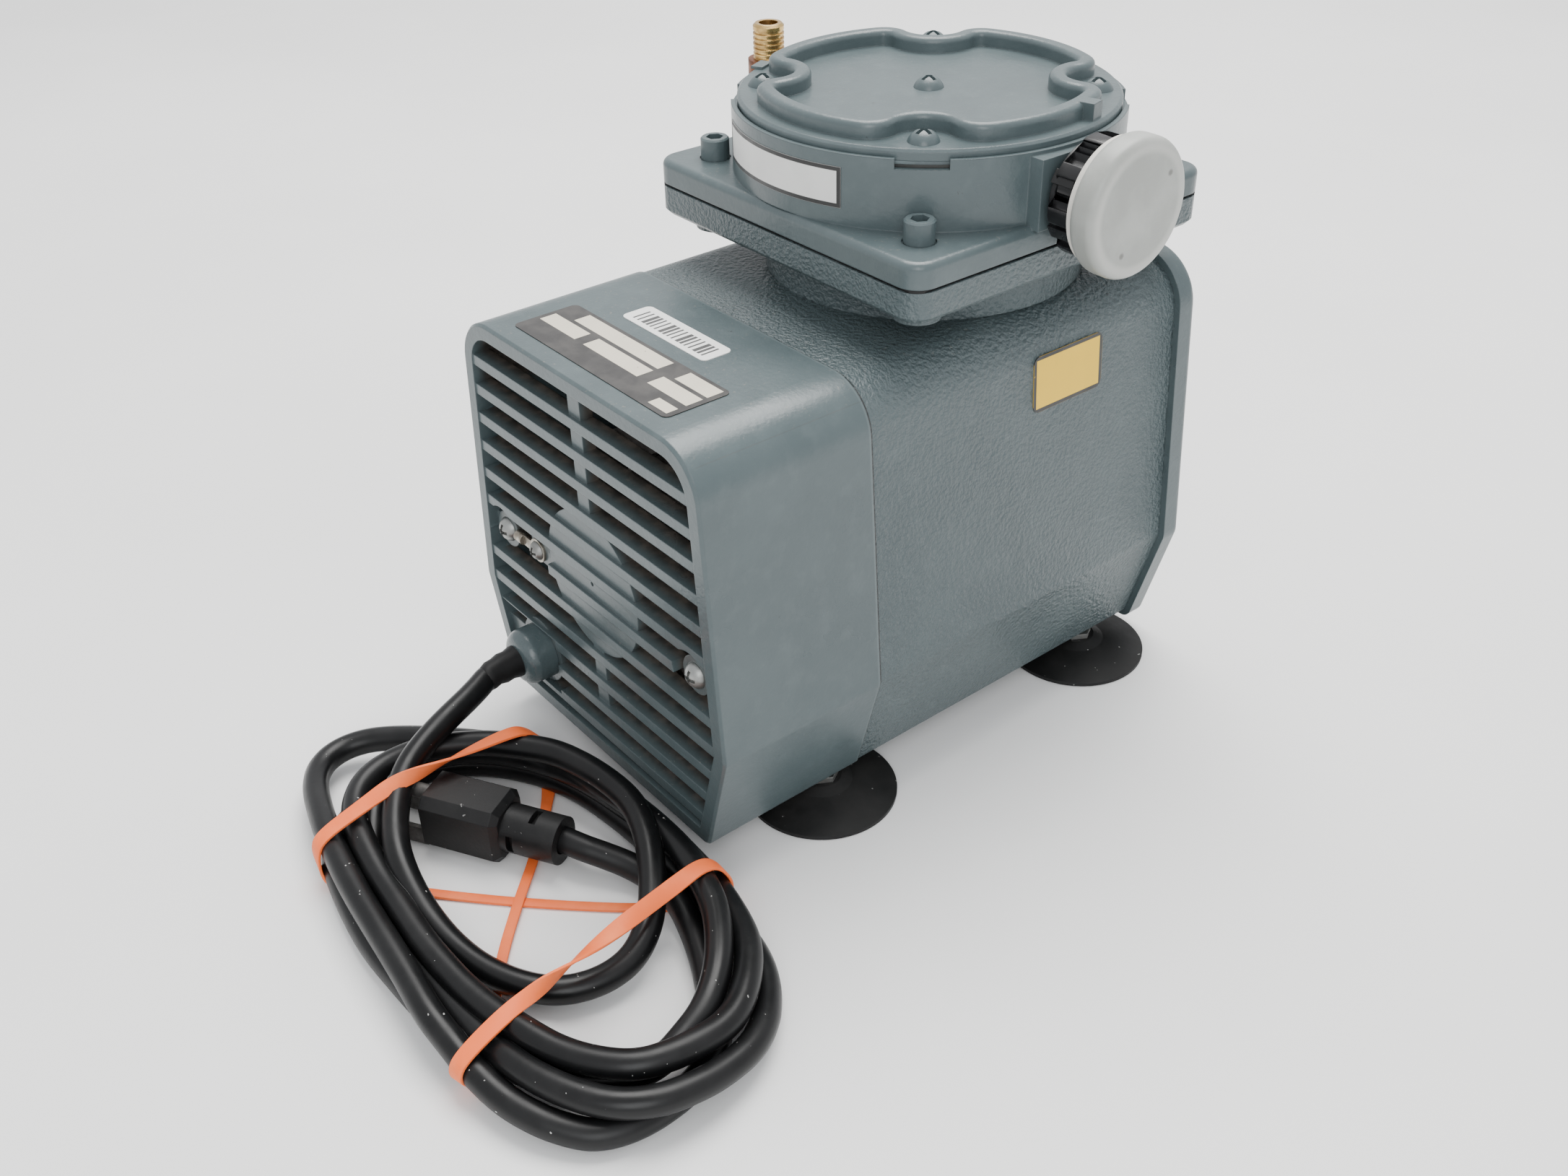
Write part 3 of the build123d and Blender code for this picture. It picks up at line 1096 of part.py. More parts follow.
def make_plug_blades():
    """Two flat blades and a round earth pin."""
    middle = -(PLUG_LENGTH + BLADE_LENGTH) / 2
    blades = []
    for side in (-1, 1):
        blade = Box(BLADE_LENGTH, BLADE_THICK, BLADE_WIDTH)
        blades.append(plug_frame() * Pos(middle, side * BLADE_SPACING / 2, -BLADE_DROP) * blade)
    pin = Pos(middle, 0, EARTH_PIN_RISE - BLADE_DROP) * Rot(0, 90, 0) * Cylinder(EARTH_PIN_R, BLADE_LENGTH)
    blades.append(plug_frame() * pin)
    return blades


def strip(start, end, z_low):
    """A flat strip of rubber band between two plan points."""
    length = math.dist(start, end)
    angle = math.degrees(math.atan2(end[1] - start[1], end[0] - start[0]))
    middle = ((start[0] + end[0]) / 2, (start[1] + end[1]) / 2, z_low + BAND_THICK / 2)
    return Pos(*middle) * Rot(0, 0, angle) * Box(length + BAND_WIDTH / 2, BAND_WIDTH, BAND_THICK)


def make_coil_band():
    """One rubber band looped round the coil: two runs over it and two crossed runs under it."""
    upper_left, lower_left, upper_right, lower_right = BAND_CORNERS
    under = COIL_BOTTOM - BAND_THICK - 0.1
    over = COIL_BOTTOM + COIL_HEIGHT + BAND_LIFT
    band = strip(upper_left, lower_left, over) + strip(upper_right, lower_right, over)
    band += strip(lower_left, upper_right, under) + strip(lower_right, upper_left, under)
    top = over + BAND_THICK
    for x, y in BAND_CORNERS:
        band += Pos(x, y, (under + top) / 2) * Box(BAND_WIDTH, 2 * BAND_THICK, top - under)
    return band


NODES = {
    "grille_cover": make_grille_cover,
    "motor_housing": make_motor_housing,
    "end_cover": make_end_cover,
    "cover_screws": make_cover_screws,
    "end_cover_screws": make_end_screws,
    "earth_terminal": make_earth_terminal,
    "earth_screw": make_earth_screw,
    "cord_grommet": make_grommet,
    "cord_collar": make_collar,
    "stator_core": make_stator_core,
    "stator_windings": make_windings,
    "front_bracket": make_front_bracket,
    "bracket_screws": make_bracket_screws,
    "front_bearing": lambda: make_bearing(BRACKET_Y + BEARING_LIP),
    "rear_bearing": lambda: make_bearing(PARTITION_Y),
    "motor_shaft": make_shaft,
    "rotor_core": make_rotor_core,
    "cooling_fan": make_fan,
    "eccentric": make_eccentric,
    "crank_pin_screw": make_pin_screw,
    "rod_bearing": make_rod_bearing,
    "connecting_rod": make_connecting_rod,
    "diaphragm_lower_clamp": make_lower_clamp,
    "diaphragm_upper_clamp": make_upper_clamp,
    "diaphragm_screw": make_clamp_screw,
    "diaphragm": make_diaphragm,
    "head_base": make_head_base,
    "head_casting": make_head_casting,
    "head_cap_screws": make_cap_screws,
    "intake_reed": make_intake_reed,
    "exhaust_reed": make_exhaust_reed,
    "reed_clamps": make_reed_clamps,
    "reed_screws": make_reed_screws,
    "head_gasket": make_gasket,
    "baffle_plate": make_baffle_plate,
    "head_lid": make_lid,
    "lid_screws": make_lid_screws,
    "filter_body": make_filter_body,
    "filter_felt": make_filter_felt,
    "filter_cap": make_filter_cap,
    "outlet_elbow": make_elbow,
    "brass_fitting": make_brass_fitting,
    "foot_studs": make_foot_studs,
    "foot_nuts": make_foot_nuts,
    "rating_plate": lambda: flat_label(RATING_CENTRE, RATING_SIZE),
    "stock_label": lambda: flat_label(STOCK_CENTRE, STOCK_SIZE),
    "head_label": make_head_label,
    "side_label": make_side_label,
    "cord_coil": make_cord_coil,
    "cord_lead": lambda: tube_path(CORD_ROUTE, CORD_R),
    "cord_tail": lambda: tube_path(TAIL_ROUTE, CORD_R),
    "plug_body": make_plug_body,
    "plug_neck": make_plug_neck,
    "plug_blades": make_plug_blades,
    "coil_band": make_coil_band,
}


def write_node(name, shape):
    """Write one node, with its separate solids kept apart."""
    solids = []
    for piece in shape if isinstance(shape, list) else [shape]:
        solids += piece.solids()
    body = solids[0] if len(solids) == 1 else Compound(children=solids)
    export_step(body, f"parts/{name}.step")


os.makedirs("parts", exist_ok=True)
for node_name, maker in NODES.items():
    write_node(node_name, maker())
for foot_name, (foot_x, foot_y) in foot_points().items():
    write_node(f"foot_cup_{foot_name}", make_foot_cup(foot_x, foot_y))
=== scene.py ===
# %% [markdown]
# # A single-head diaphragm vacuum pump
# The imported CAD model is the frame: every part of the pump is already in place, in metres, with the
# grille facing -Y, the inlet filter facing +X and the floor at z = 0. This script gives each part its
# finish, and makes the soft pieces that CAD can only hint at: the mains lead in its loose coil, the
# twisted rubber band round it and the tapered sleeve where the lead leaves the pump.

# %% Load the frame
import math
import bpy
from mathutils import Matrix, Vector


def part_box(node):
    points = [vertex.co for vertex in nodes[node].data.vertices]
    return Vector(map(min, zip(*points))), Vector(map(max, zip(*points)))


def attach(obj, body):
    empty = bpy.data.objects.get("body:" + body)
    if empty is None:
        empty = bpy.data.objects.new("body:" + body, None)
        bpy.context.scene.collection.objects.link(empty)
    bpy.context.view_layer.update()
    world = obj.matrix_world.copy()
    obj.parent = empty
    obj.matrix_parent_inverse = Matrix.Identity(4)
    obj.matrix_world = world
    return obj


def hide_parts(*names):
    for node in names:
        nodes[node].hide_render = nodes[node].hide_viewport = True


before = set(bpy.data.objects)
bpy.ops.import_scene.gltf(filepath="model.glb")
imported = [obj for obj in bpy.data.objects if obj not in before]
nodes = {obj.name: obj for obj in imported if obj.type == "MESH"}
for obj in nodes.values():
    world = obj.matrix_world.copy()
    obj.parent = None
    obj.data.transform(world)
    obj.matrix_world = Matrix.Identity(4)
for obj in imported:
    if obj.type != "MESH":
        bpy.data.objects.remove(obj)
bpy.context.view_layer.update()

bpy.ops.object.select_all(action="DESELECT")

# %% [markdown]
# The camera stands in front of the pump and to its right, at about the height of a person's eyes over
# a table. It could be turned by three angles, but it is easier to check as a place and a target: the
# view direction, the level right and the level up follow from those, and a roll of a little more than
# a degree, as a hand-held camera has, is mixed in last.

# %% Camera
CAMERA_PLACE = Vector((0.33844, -0.28440, 0.33404))
CAMERA_TARGET = Vector((0.04592, -0.05339, 0.080))
CAMERA_ROLL = math.radians(-1.26)
LENS = 35.62
SENSOR_WIDTH = 36.0
NEAREST_SEEN = 0.01

forward = (CAMERA_TARGET - CAMERA_PLACE).normalized()
level_right = forward.cross(Vector((0, 0, 1))).normalized()
level_up = level_right.cross(forward)
right = level_right * math.cos(CAMERA_ROLL) + level_up * math.sin(CAMERA_ROLL)
up = level_up * math.cos(CAMERA_ROLL) - level_right * math.sin(CAMERA_ROLL)
camera_data = bpy.data.cameras.new("camera")
camera_data.lens = LENS
camera_data.sensor_width = SENSOR_WIDTH
camera_data.clip_start = NEAREST_SEEN
camera = bpy.data.objects.new("camera", camera_data)
bpy.context.scene.collection.objects.link(camera)
camera_turn = Matrix((right, up, -forward)).transposed().to_4x4()
camera.matrix_world = Matrix.Translation(CAMERA_PLACE) @ camera_turn
bpy.context.scene.camera = camera
print("camera", [round(v, 3) for v in camera.location])

# %% [markdown]
# ## The mains lead
# A mains lead is a fixed length of something flexible. This one leaves its bushing, drops over the
# coil, goes round about five times and ends in its plug inside the coil. One NURBS spline is the way
# to make it, because its bends stay smooth wherever the control points are put. The points below are
# in millimetres and read from the pump to the plug. A turn that lies on the floor has its centre about
# half a diameter up, and each turn that crosses another rises over it in a long low hump.

# %% Control points of the lead
CORD_DIAMETER = 0.0082
CORD_RADIUS = CORD_DIAMETER / 2
MILLIMETRES = 1000
LEAD = (
    (-37, -98, 29), (-37, -110, 29), (-32.5, -118.5, 28), (-28, -132.5, 26), (-24.5, -143, 23.5),
    (-20.5, -151, 21), (-13, -158, 19),
)
INNER_LOOP = (
    (-3.5, -164, 17.5), (5.5, -168, 15.5), (15.5, -170, 12), (26.5, -170.5, 8), (40, -170, 6.5),
    (53, -167.5, 6), (64.5, -162.5, 6), (73, -155.5, 6), (77.5, -145.5, 6.5), (78, -135.5, 8),
    (74, -127, 10.5), (66.5, -119.5, 13), (56, -112.5, 15.5), (47, -108, 18), (35, -104.5, 19),
    (22.5, -104.5, 19), (10.5, -106.5, 19), (-0.5, -110, 19), (-9.5, -116, 18.5),
    (-17.5, -122.5, 18.5), (-24.2, -130.5, 18), (-29.3, -138.5, 17.5),
)
SECOND_TURN = (
    (-32.5, -146.8, 16.2), (-33, -155, 15.2), (-30, -162.3, 14.4), (-23.8, -167.8, 14), (-14.5, -171.6, 14),
    (-1, -174, 13), (11, -175.5, 12), (24.5, -176.5, 12), (36, -177.5, 12), (48, -177.5, 12),
    (60.5, -177, 12), (72, -175.5, 12.5), (84.5, -172.5, 13), (95.5, -169, 13), (105, -163.5, 13.5),
    (112.5, -156.5, 14), (115.5, -147.5, 14), (116.5, -140, 14), (116, -132, 13), (113, -124.5, 12.5),
    (106.5, -116.5, 12.5), (98, -109.5, 12), (88, -105, 10.5), (74, -101.5, 10), (58.5, -100, 9.5),
    (42.5, -99.5, 9.5), (27, -101.5, 10), (12, -104, 10.5), (-2, -108, 10.5), (-13, -113.5, 10.5),
    (-22.5, -120.5, 10.5), (-29.5, -129, 10.5), (-33.5, -138, 10.5), (-34, -147.5, 10.5),
)
THIRD_TURN = (
    (-30.5, -156, 10), (-23, -162.5, 8.5), (-12.5, -168.5, 6.5), (0, -174, 5.5), (16.5, -178, 5.5),
    (34, -180.5, 6), (51.5, -181, 7), (68.5, -181, 8), (84.5, -180, 10), (98.5, -177, 11.5),
    (110, -172, 12), (118, -166, 12), (123.5, -157.5, 12), (125, -148.5, 11), (125, -140, 9.5),
    (123, -129, 8), (118, -120, 6.5), (110.5, -113, 5.5), (102.5, -108, 5), (92, -104.5, 4.5),
    (79.5, -103.5, 4.5), (64, -103, 4.5), (47.5, -102.5, 4.5), (34, -102.5, 4.5), (20, -103.5, 4.5),
    (6, -105.5, 4.5), (-7.5, -110, 4.5), (-18.5, -116.5, 4.5), (-27, -124, 4.5), (-33.5, -133, 4.5),
)
FOURTH_TURN = (
    (-35.5, -144, 4.5), (-35, -155, 4.5), (-31, -165.5, 4.5), (-24.5, -174.5, 4.5), (-16, -180, 4.5),
    (-6, -182.5, 4.5), (7.5, -185, 4.5), (24.5, -187, 4.5), (40.5, -186.5, 4.5), (53, -186, 4.5),
    (66, -184.5, 4.5), (78, -181, 4.5), (89, -176, 4.5), (98.5, -169.5, 5), (105, -162.5, 5.5),
    (109.5, -155.5, 6.5), (111, -147.5, 8), (109.5, -140, 9.5), (107.5, -132, 11.5),
    (102.5, -124.5, 13), (96, -118, 14.5), (85, -110.5, 15.5), (75.5, -107, 16.5), (62.5, -104, 16.5),
    (49, -102.5, 15), (33.5, -102, 13.5), (19.5, -103, 12.5), (6, -105, 12), (-6, -109, 12),
    (-17, -114.5, 12), (-27, -121.5, 12), (-36, -129, 11.5),
)
LAST_TURN = (
    (-44.3, -135.6, 10.5), (-51.6, -141.6, 9), (-57, -148, 8), (-59.6, -155.3, 7), (-57.9, -162.6, 6.8),
    (-52.2, -168.3, 7.4), (-43.6, -172.3, 8.6), (-31, -176, 10.5), (-19, -179, 12), (-5.5, -181.5, 12.5),
    (8.5, -183.5, 12.5), (24, -185, 12.5), (36.5, -186, 12.5), (48, -187, 12), (61.5, -188.5, 11.5),
    (71.5, -188, 10), (83, -187.5, 8), (95, -185.5, 6.5), (104.5, -182, 6), (111.5, -177.5, 5),
    (116.5, -173, 4.5), (119.5, -167, 4.5), (121, -160, 4.5), (121, -152.5, 4.5), (120, -145, 4.5),
    (117, -137.5, 4.5), (112.5, -131.5, 4.5), (106, -127, 4.5), (98.5, -123.5, 4.5), (89, -118.5, 5),
    (79, -114.5, 5.5), (65.5, -110.5, 6),
)
TAIL = (
    (54, -110.5, 5), (45.5, -113.5, 6.5), (38, -118.5, 8.5), (32.5, -122.5, 10), (25.5, -125, 10),
)
cord_points = [
    tuple(value / MILLIMETRES for value in point)
    for stretch in (LEAD, INNER_LOOP, SECOND_TURN, THIRD_TURN, FOURTH_TURN, LAST_TURN, TAIL)
    for point in stretch
]
print(len(cord_points), "control points")

# %% The lead as one NURBS curve
cord_data = bpy.data.curves.new("mains_cord", "CURVE")
cord_data.dimensions = "3D"
cord_data.bevel_resolution = 6
cord_data.resolution_u = 10
cord_data.use_fill_caps = True
spline = cord_data.splines.new("NURBS")
spline.points.add(len(cord_points) - 1)
for point, place in zip(spline.points, cord_points):
    point.co = (*place, 1)
spline.order_u = 3
spline.use_endpoint_u = True
mains_cord = bpy.data.objects.new("mains_cord", cord_data)
bpy.context.scene.collection.objects.link(mains_cord)

# %% [markdown]
# Other pieces need to know where the lead runs. With no thickness, a curve turned into a mesh is just
# its centreline, so that is read first. Then the curve gets its thickness and becomes a tube for good,
# because a mesh has a true outer box and a curve doesn't.

# %% The lead's centreline, and its tube as a mesh
def line_of(curve_object):
    """The places along a curve that has no thickness."""
    line_mesh = bpy.data.meshes.new_from_object(
        curve_object.evaluated_get(bpy.context.evaluated_depsgraph_get()))
    places = [vertex.co.copy() for vertex in line_mesh.vertices]
    bpy.data.meshes.remove(line_mesh)
    return places


def select_only(piece):
    """Deselects everything else, so that the next operator acts on this piece alone."""
    bpy.ops.object.select_all(action="DESELECT")
    bpy.context.view_layer.objects.active = piece
    piece.select_set(True)


cord_path = line_of(mains_cord)
cord_data.bevel_depth = CORD_RADIUS
select_only(mains_cord)
bpy.ops.object.convert(target="MESH")
mains_cord = bpy.context.active_object
bpy.ops.object.shade_smooth_by_angle(angle=math.radians(50))
print("tube", len(mains_cord.data.vertices), "vertices,", len(cord_path), "places on its line")
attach(mains_cord, "pump")
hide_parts("cord_lead", "cord_coil", "cord_tail")

# %% [markdown]
# ## The rubber band
# The rubber band is flat, and it is twisted where it was stretched over the coil. A ribbon has two
# edges, so each row below gives a place on its middle line and half of its width as a direction, both
# in millimetres. Turning that direction round is what twists the ribbon. It crosses over the coil
# twice and under it twice, and the two runs beneath cross on the floor inside the hole of the coil.
# Each edge is its own closed NURBS curve, and a strip of faces between the two gets its thickness from
# a Solidify modifier. One flat curve with a tilt is simpler, but it flips over where it climbs.

# %% Middle line and half width of the band
BAND_THICK = 0.0009
BAND_POINTS = (
    ((-11.0, -107.0, 9.0), (2.4, 0.8, 0)), ((-11.2, -107.6, 16.0), (2.5, 0.3, 0.3)),
    ((-11.5, -113.8, 22.9), (2.6, 0, 0)), ((-11.9, -119.5, 24.0), (2.6, 0, 0)),
    ((-12.4, -132.0, 24.0), (2.5, 0, 0.8)), ((-12.8, -143.0, 24.0), (1.5, 0, 2.1)),
    ((-13.2, -151.0, 24.0), (-0.4, 0, 2.6)), ((-13.6, -158.5, 24.1), (-2.0, 0, 1.7)),
    ((-14.0, -169.0, 20.9), (-2.6, 0.1, 0.3)), ((-14.3, -181.6, 17.2), (-2.6, 0, 0)),
    ((-14.3, -185.3, 13.5), (-2.6, 0, 0)), ((-13.5, -185.6, 5.0), (-2.5, 0.7, 0)),
    ((-11.5, -183.0, 0.6), (-2.1, 1.5, 0)), ((0, -172.0, 0.5), (-1.15, 1.15, 0)),
    ((13.0, -161.5, 0.5), (-1.15, 1.15, 0)), ((32.3, -144.0, 0.5), (-1.15, 1.15, 0)),
    ((55.7, -119.9, 0.5), (-1.15, 1.15, 0)), ((67.0, -104.0, 0.5), (-1.15, 1.15, 0)),
    ((71.0, -98.6, 0.7), (-2.0, 1.6, 0)), ((71.5, -96.6, 5.0), (-2.4, 0.9, 0)),
    ((71.6, -96.4, 11.0), (-2.6, 0.3, 0)), ((71.8, -101.0, 19.2), (-2.6, 0, 0)),
    ((72.2, -106.5, 21.9), (-2.6, 0, 0)), ((73.0, -115.0, 21.2), (-2.3, 0, 1.2)),
    ((74.0, -125.0, 20.6), (-1.6, 0, 2.0)), ((75.2, -136.0, 20.0), (-2.4, 0, 1.0)),
    ((76.5, -147.0, 19.3), (-2.4, 0, -1.0)), ((77.4, -156.0, 18.8), (-1.0, 0, -2.4)),
    ((78.3, -164.0, 18.3), (1.2, 0, -2.3)), ((79.3, -174.5, 17.7), (2.6, 0, -0.3)),
    ((81.1, -189.3, 13.5), (2.6, 0, 0)), ((81.5, -192.5, 9.5), (2.6, 0.2, 0)),
    ((81.0, -190.8, 4.2), (2.4, 0.9, 0)), ((78.5, -183.0, 0.8), (1.9, 1.7, 0)),
    ((66.0, -173.5, 0.9), (1.0, 1.25, 0)), ((48.9, -161.0, 0.9), (1.0, 1.25, 0)),
    ((32.3, -145.0, 1.6), (1.05, 1.2, 0)), ((18.9, -131.1, 1.2), (1.05, 1.2, 0)),
    ((2.0, -116.5, 0.8), (1.0, 1.25, 0)), ((-8.0, -109.2, 1.0), (1.8, 1.8, 0)),
    ((-10.8, -107.2, 4.0), (2.2, 1.3, 0)),
)
print("band", len(BAND_POINTS), "control points")

# %% Rubber band round the coil
def round_edges(piece, width, segments, sharper_than=30):
    """Bevels the edges that are sharper than an angle in degrees, and applies the modifier."""
    edge = piece.modifiers.new("round_edges", "BEVEL")
    edge.width = width
    edge.segments = segments
    edge.limit_method = "ANGLE"
    edge.angle_limit = math.radians(sharper_than)
    bpy.ops.object.modifier_apply(modifier="round_edges")


def band_edge(side):
    """The places along one edge of the band, on a smooth closed line; side is 1 or -1."""
    data = bpy.data.curves.new("band_edge", "CURVE")
    data.dimensions = "3D"
    data.resolution_u = 8
    line = data.splines.new("NURBS")
    line.points.add(len(BAND_POINTS) - 1)
    for point, (place, half) in zip(line.points, BAND_POINTS):
        point.co = (*((a + side * b) / MILLIMETRES for a, b in zip(place, half)), 1)
    line.order_u = 3
    line.use_cyclic_u = True
    guide = bpy.data.objects.new("band_edge", data)
    bpy.context.scene.collection.objects.link(guide)
    places = line_of(guide)
    bpy.data.objects.remove(guide)
    return places


first_edge, second_edge = band_edge(1), band_edge(-1)
count = len(first_edge)
band_mesh = bpy.data.meshes.new("rubber_band")
band_mesh.from_pydata(
    first_edge + second_edge, [],
    [(i, (i + 1) % count, (i + 1) % count + count, i + count) for i in range(count)])
rubber_band = bpy.data.objects.new("rubber_band", band_mesh)
bpy.context.scene.collection.objects.link(rubber_band)
select_only(rubber_band)
band_body = rubber_band.modifiers.new("thickness", "SOLIDIFY")
band_body.thickness = BAND_THICK
band_body.offset = 0
bpy.ops.object.modifier_apply(modifier="thickness")
round_edges(rubber_band, 0.0002, 2)
bpy.ops.object.shade_smooth_by_angle(angle=math.radians(40))
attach(rubber_band, "pump")
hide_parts("coil_band")
print("band", count, "places along it")

# %% [markdown]
# ## The sleeve where the lead leaves the pump
# A strain relief stops the lead from kinking at the housing. It is a tapered rubber sleeve that grips
# the lead and comes out of the domed bushing. A cylinder is the right start: its side is cut into
# rings by bisecting, and then each ring is drawn in and every second one a little more, which leaves
# grooves. Past the bushing the rings are centred on the lead, so that the sleeve bends with it.

# %% Helpers for pieces that start as a cylinder
def cylinder_piece(name, sides, radius, middle, length, rotation):
    """A cylinder alone selected in object mode, with its place already in its mesh."""
    bpy.ops.object.select_all(action="DESELECT")
    bpy.ops.mesh.primitive_cylinder_add(
        vertices=sides, radius=radius, depth=length, end_fill_type="NGON", location=middle, rotation=rotation)
    piece = bpy.context.active_object
    piece.name = name
    piece.data.name = name
    bpy.ops.object.transform_apply(location=True, rotation=True, scale=True)
    return piece


def finish_piece(piece, body, smooth_angle=35):
    """Merges doubles, points the faces outwards, smooths, and ties the piece to its body."""
    bpy.ops.object.mode_set(mode="EDIT")
    bpy.ops.mesh.select_all(action="SELECT")
    bpy.ops.mesh.remove_doubles(threshold=1e-6)
    bpy.ops.mesh.normals_make_consistent(inside=False)
    bpy.ops.object.mode_set(mode="OBJECT")
    bpy.ops.object.shade_smooth_by_angle(angle=math.radians(smooth_angle))
    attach(piece, body)
    piece.select_set(False)
    print(piece.name, len(piece.data.vertices), "vertices")


# %% Sizes of the strain relief sleeve
GROMMET_X, GROMMET_Z = -0.037, 0.029
SLEEVE_START, SLEEVE_END = -0.0915, -0.1135
SLEEVE_LENGTH = SLEEVE_START - SLEEVE_END
SLEEVE_RINGS = 9
SLEEVE_WIDE, SLEEVE_NARROW = 0.0062, 0.0045
GROOVE_DEPTH = 0.0004
STRAIGHT_SHARE = 0.3
ABOVE_COIL = 0.02
print("sleeve", round(SLEEVE_LENGTH, 4), "m long")

# %% Strain relief sleeve
sleeve = cylinder_piece("cord_strain_relief", 48, SLEEVE_WIDE,
                        (GROMMET_X, (SLEEVE_START + SLEEVE_END) / 2, GROMMET_Z), SLEEVE_LENGTH,
                        (math.radians(90), 0, 0))
bpy.ops.object.mode_set(mode="EDIT")
for ring in range(1, SLEEVE_RINGS):
    ring_place = SLEEVE_START - SLEEVE_LENGTH * ring / SLEEVE_RINGS
    bpy.ops.mesh.select_all(action="SELECT")
    bpy.ops.mesh.bisect(plane_co=(0, ring_place, 0), plane_no=(0, 1, 0))
bpy.ops.object.mode_set(mode="OBJECT")
for vertex in sleeve.data.vertices:
    share = (SLEEVE_START - vertex.co.y) / SLEEVE_LENGTH
    groove = GROOVE_DEPTH if round(share * SLEEVE_RINGS) % 2 else 0
    radius = SLEEVE_WIDE + (SLEEVE_NARROW - SLEEVE_WIDE) * share - groove
    outwards = Vector((vertex.co.x - GROMMET_X, 0, vertex.co.z - GROMMET_Z)).normalized() * radius
    on_lead = min(cord_path, key=lambda place: abs(place.y - vertex.co.y) + (place.z < ABOVE_COIL))
    straight = share <= STRAIGHT_SHARE
    vertex.co.x = (GROMMET_X if straight else on_lead.x) + outwards.x
    vertex.co.z = (GROMMET_Z if straight else on_lead.z) + outwards.z
round_edges(sleeve, 0.0005, 3)
finish_piece(sleeve, "pump")
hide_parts("cord_collar")

# %% [markdown]
# ## The filter's cap and its ribbed collar
# The cap is a shallow frosted cup pushed on a black collar with gripping ribs. A cylinder gives the
# cup: its face is inset for a flat middle with a low rounded rim, and a bevel rounds the outer edge.
# The collar is a cylinder whose side faces are pushed outwards in turn, which leaves the ribs.

# %% Filter cap
cap_low, cap_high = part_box("filter_cap")
cap_middle = (cap_low + cap_high) / 2
CAP_RADIUS = (cap_high.z - cap_low.z) / 2
CAP_DEPTH = 0.0088
FACE_STEPS = ((0.0030, -0.0002), (0.0030, -0.0003), (0.0050, 0.0002))
ALONG_X = (0, math.radians(90), 0)

cap = cylinder_piece("frosted_cap", 96, CAP_RADIUS,
                     (cap_high.x - CAP_DEPTH / 2, cap_middle.y, cap_middle.z), CAP_DEPTH, ALONG_X)
for face in cap.data.polygons:
    face.select = face.normal.x > 0.9
bpy.ops.object.mode_set(mode="EDIT")
bpy.ops.mesh.select_mode(type="FACE")
for inset, push in FACE_STEPS:
    bpy.ops.mesh.inset(thickness=inset, depth=0)
    bpy.ops.transform.translate(value=(push, 0, 0))
bpy.ops.object.mode_set(mode="OBJECT")
round_edges(cap, 0.0026, 6, sharper_than=50)
finish_piece(cap, "pump", 60)
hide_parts("filter_cap")

# %% Ribbed collar behind the cap
COLLAR_SIDES = 48
COLLAR_RADIUS, RIB_HEIGHT = 0.0150, 0.0022
COLLAR_START, COLLAR_END = 0.0655, cap_high.x - CAP_DEPTH + 0.0006
RIB_PITCH, RIB_FACES = 6, 2

collar = cylinder_piece("filter_collar", COLLAR_SIDES, COLLAR_RADIUS,
                        ((COLLAR_START + COLLAR_END) / 2, cap_middle.y, cap_middle.z),
                        COLLAR_END - COLLAR_START, ALONG_X)
for face in collar.data.polygons:
    angle = math.atan2(face.center.z - cap_middle.z, face.center.y - cap_middle.y)
    number = round(angle / (2 * math.pi) * COLLAR_SIDES - 0.5)
    face.select = abs(face.normal.x) < 0.5 and number % RIB_PITCH < RIB_FACES
bpy.ops.object.mode_set(mode="EDIT")
bpy.ops.mesh.select_mode(type="FACE")
bpy.ops.mesh.extrude_region_shrink_fatten(TRANSFORM_OT_shrink_fatten={"value": RIB_HEIGHT})
bpy.ops.object.mode_set(mode="OBJECT")
round_edges(collar, 0.0005, 2)
finish_piece(collar, "pump")

# %% [markdown] The lead and the pieces on it

print("lead, band and sleeve made")

# %% [markdown]
# ## Finishes
# Every finish is built from the same few nodes: the Object coordinates of the piece, a noise for
# colour, a finer noise for roughness and a bump. A small helper class keeps that readable. All lengths
# are in metres, so a noise scale of 400 makes spots of two or three millimetres.

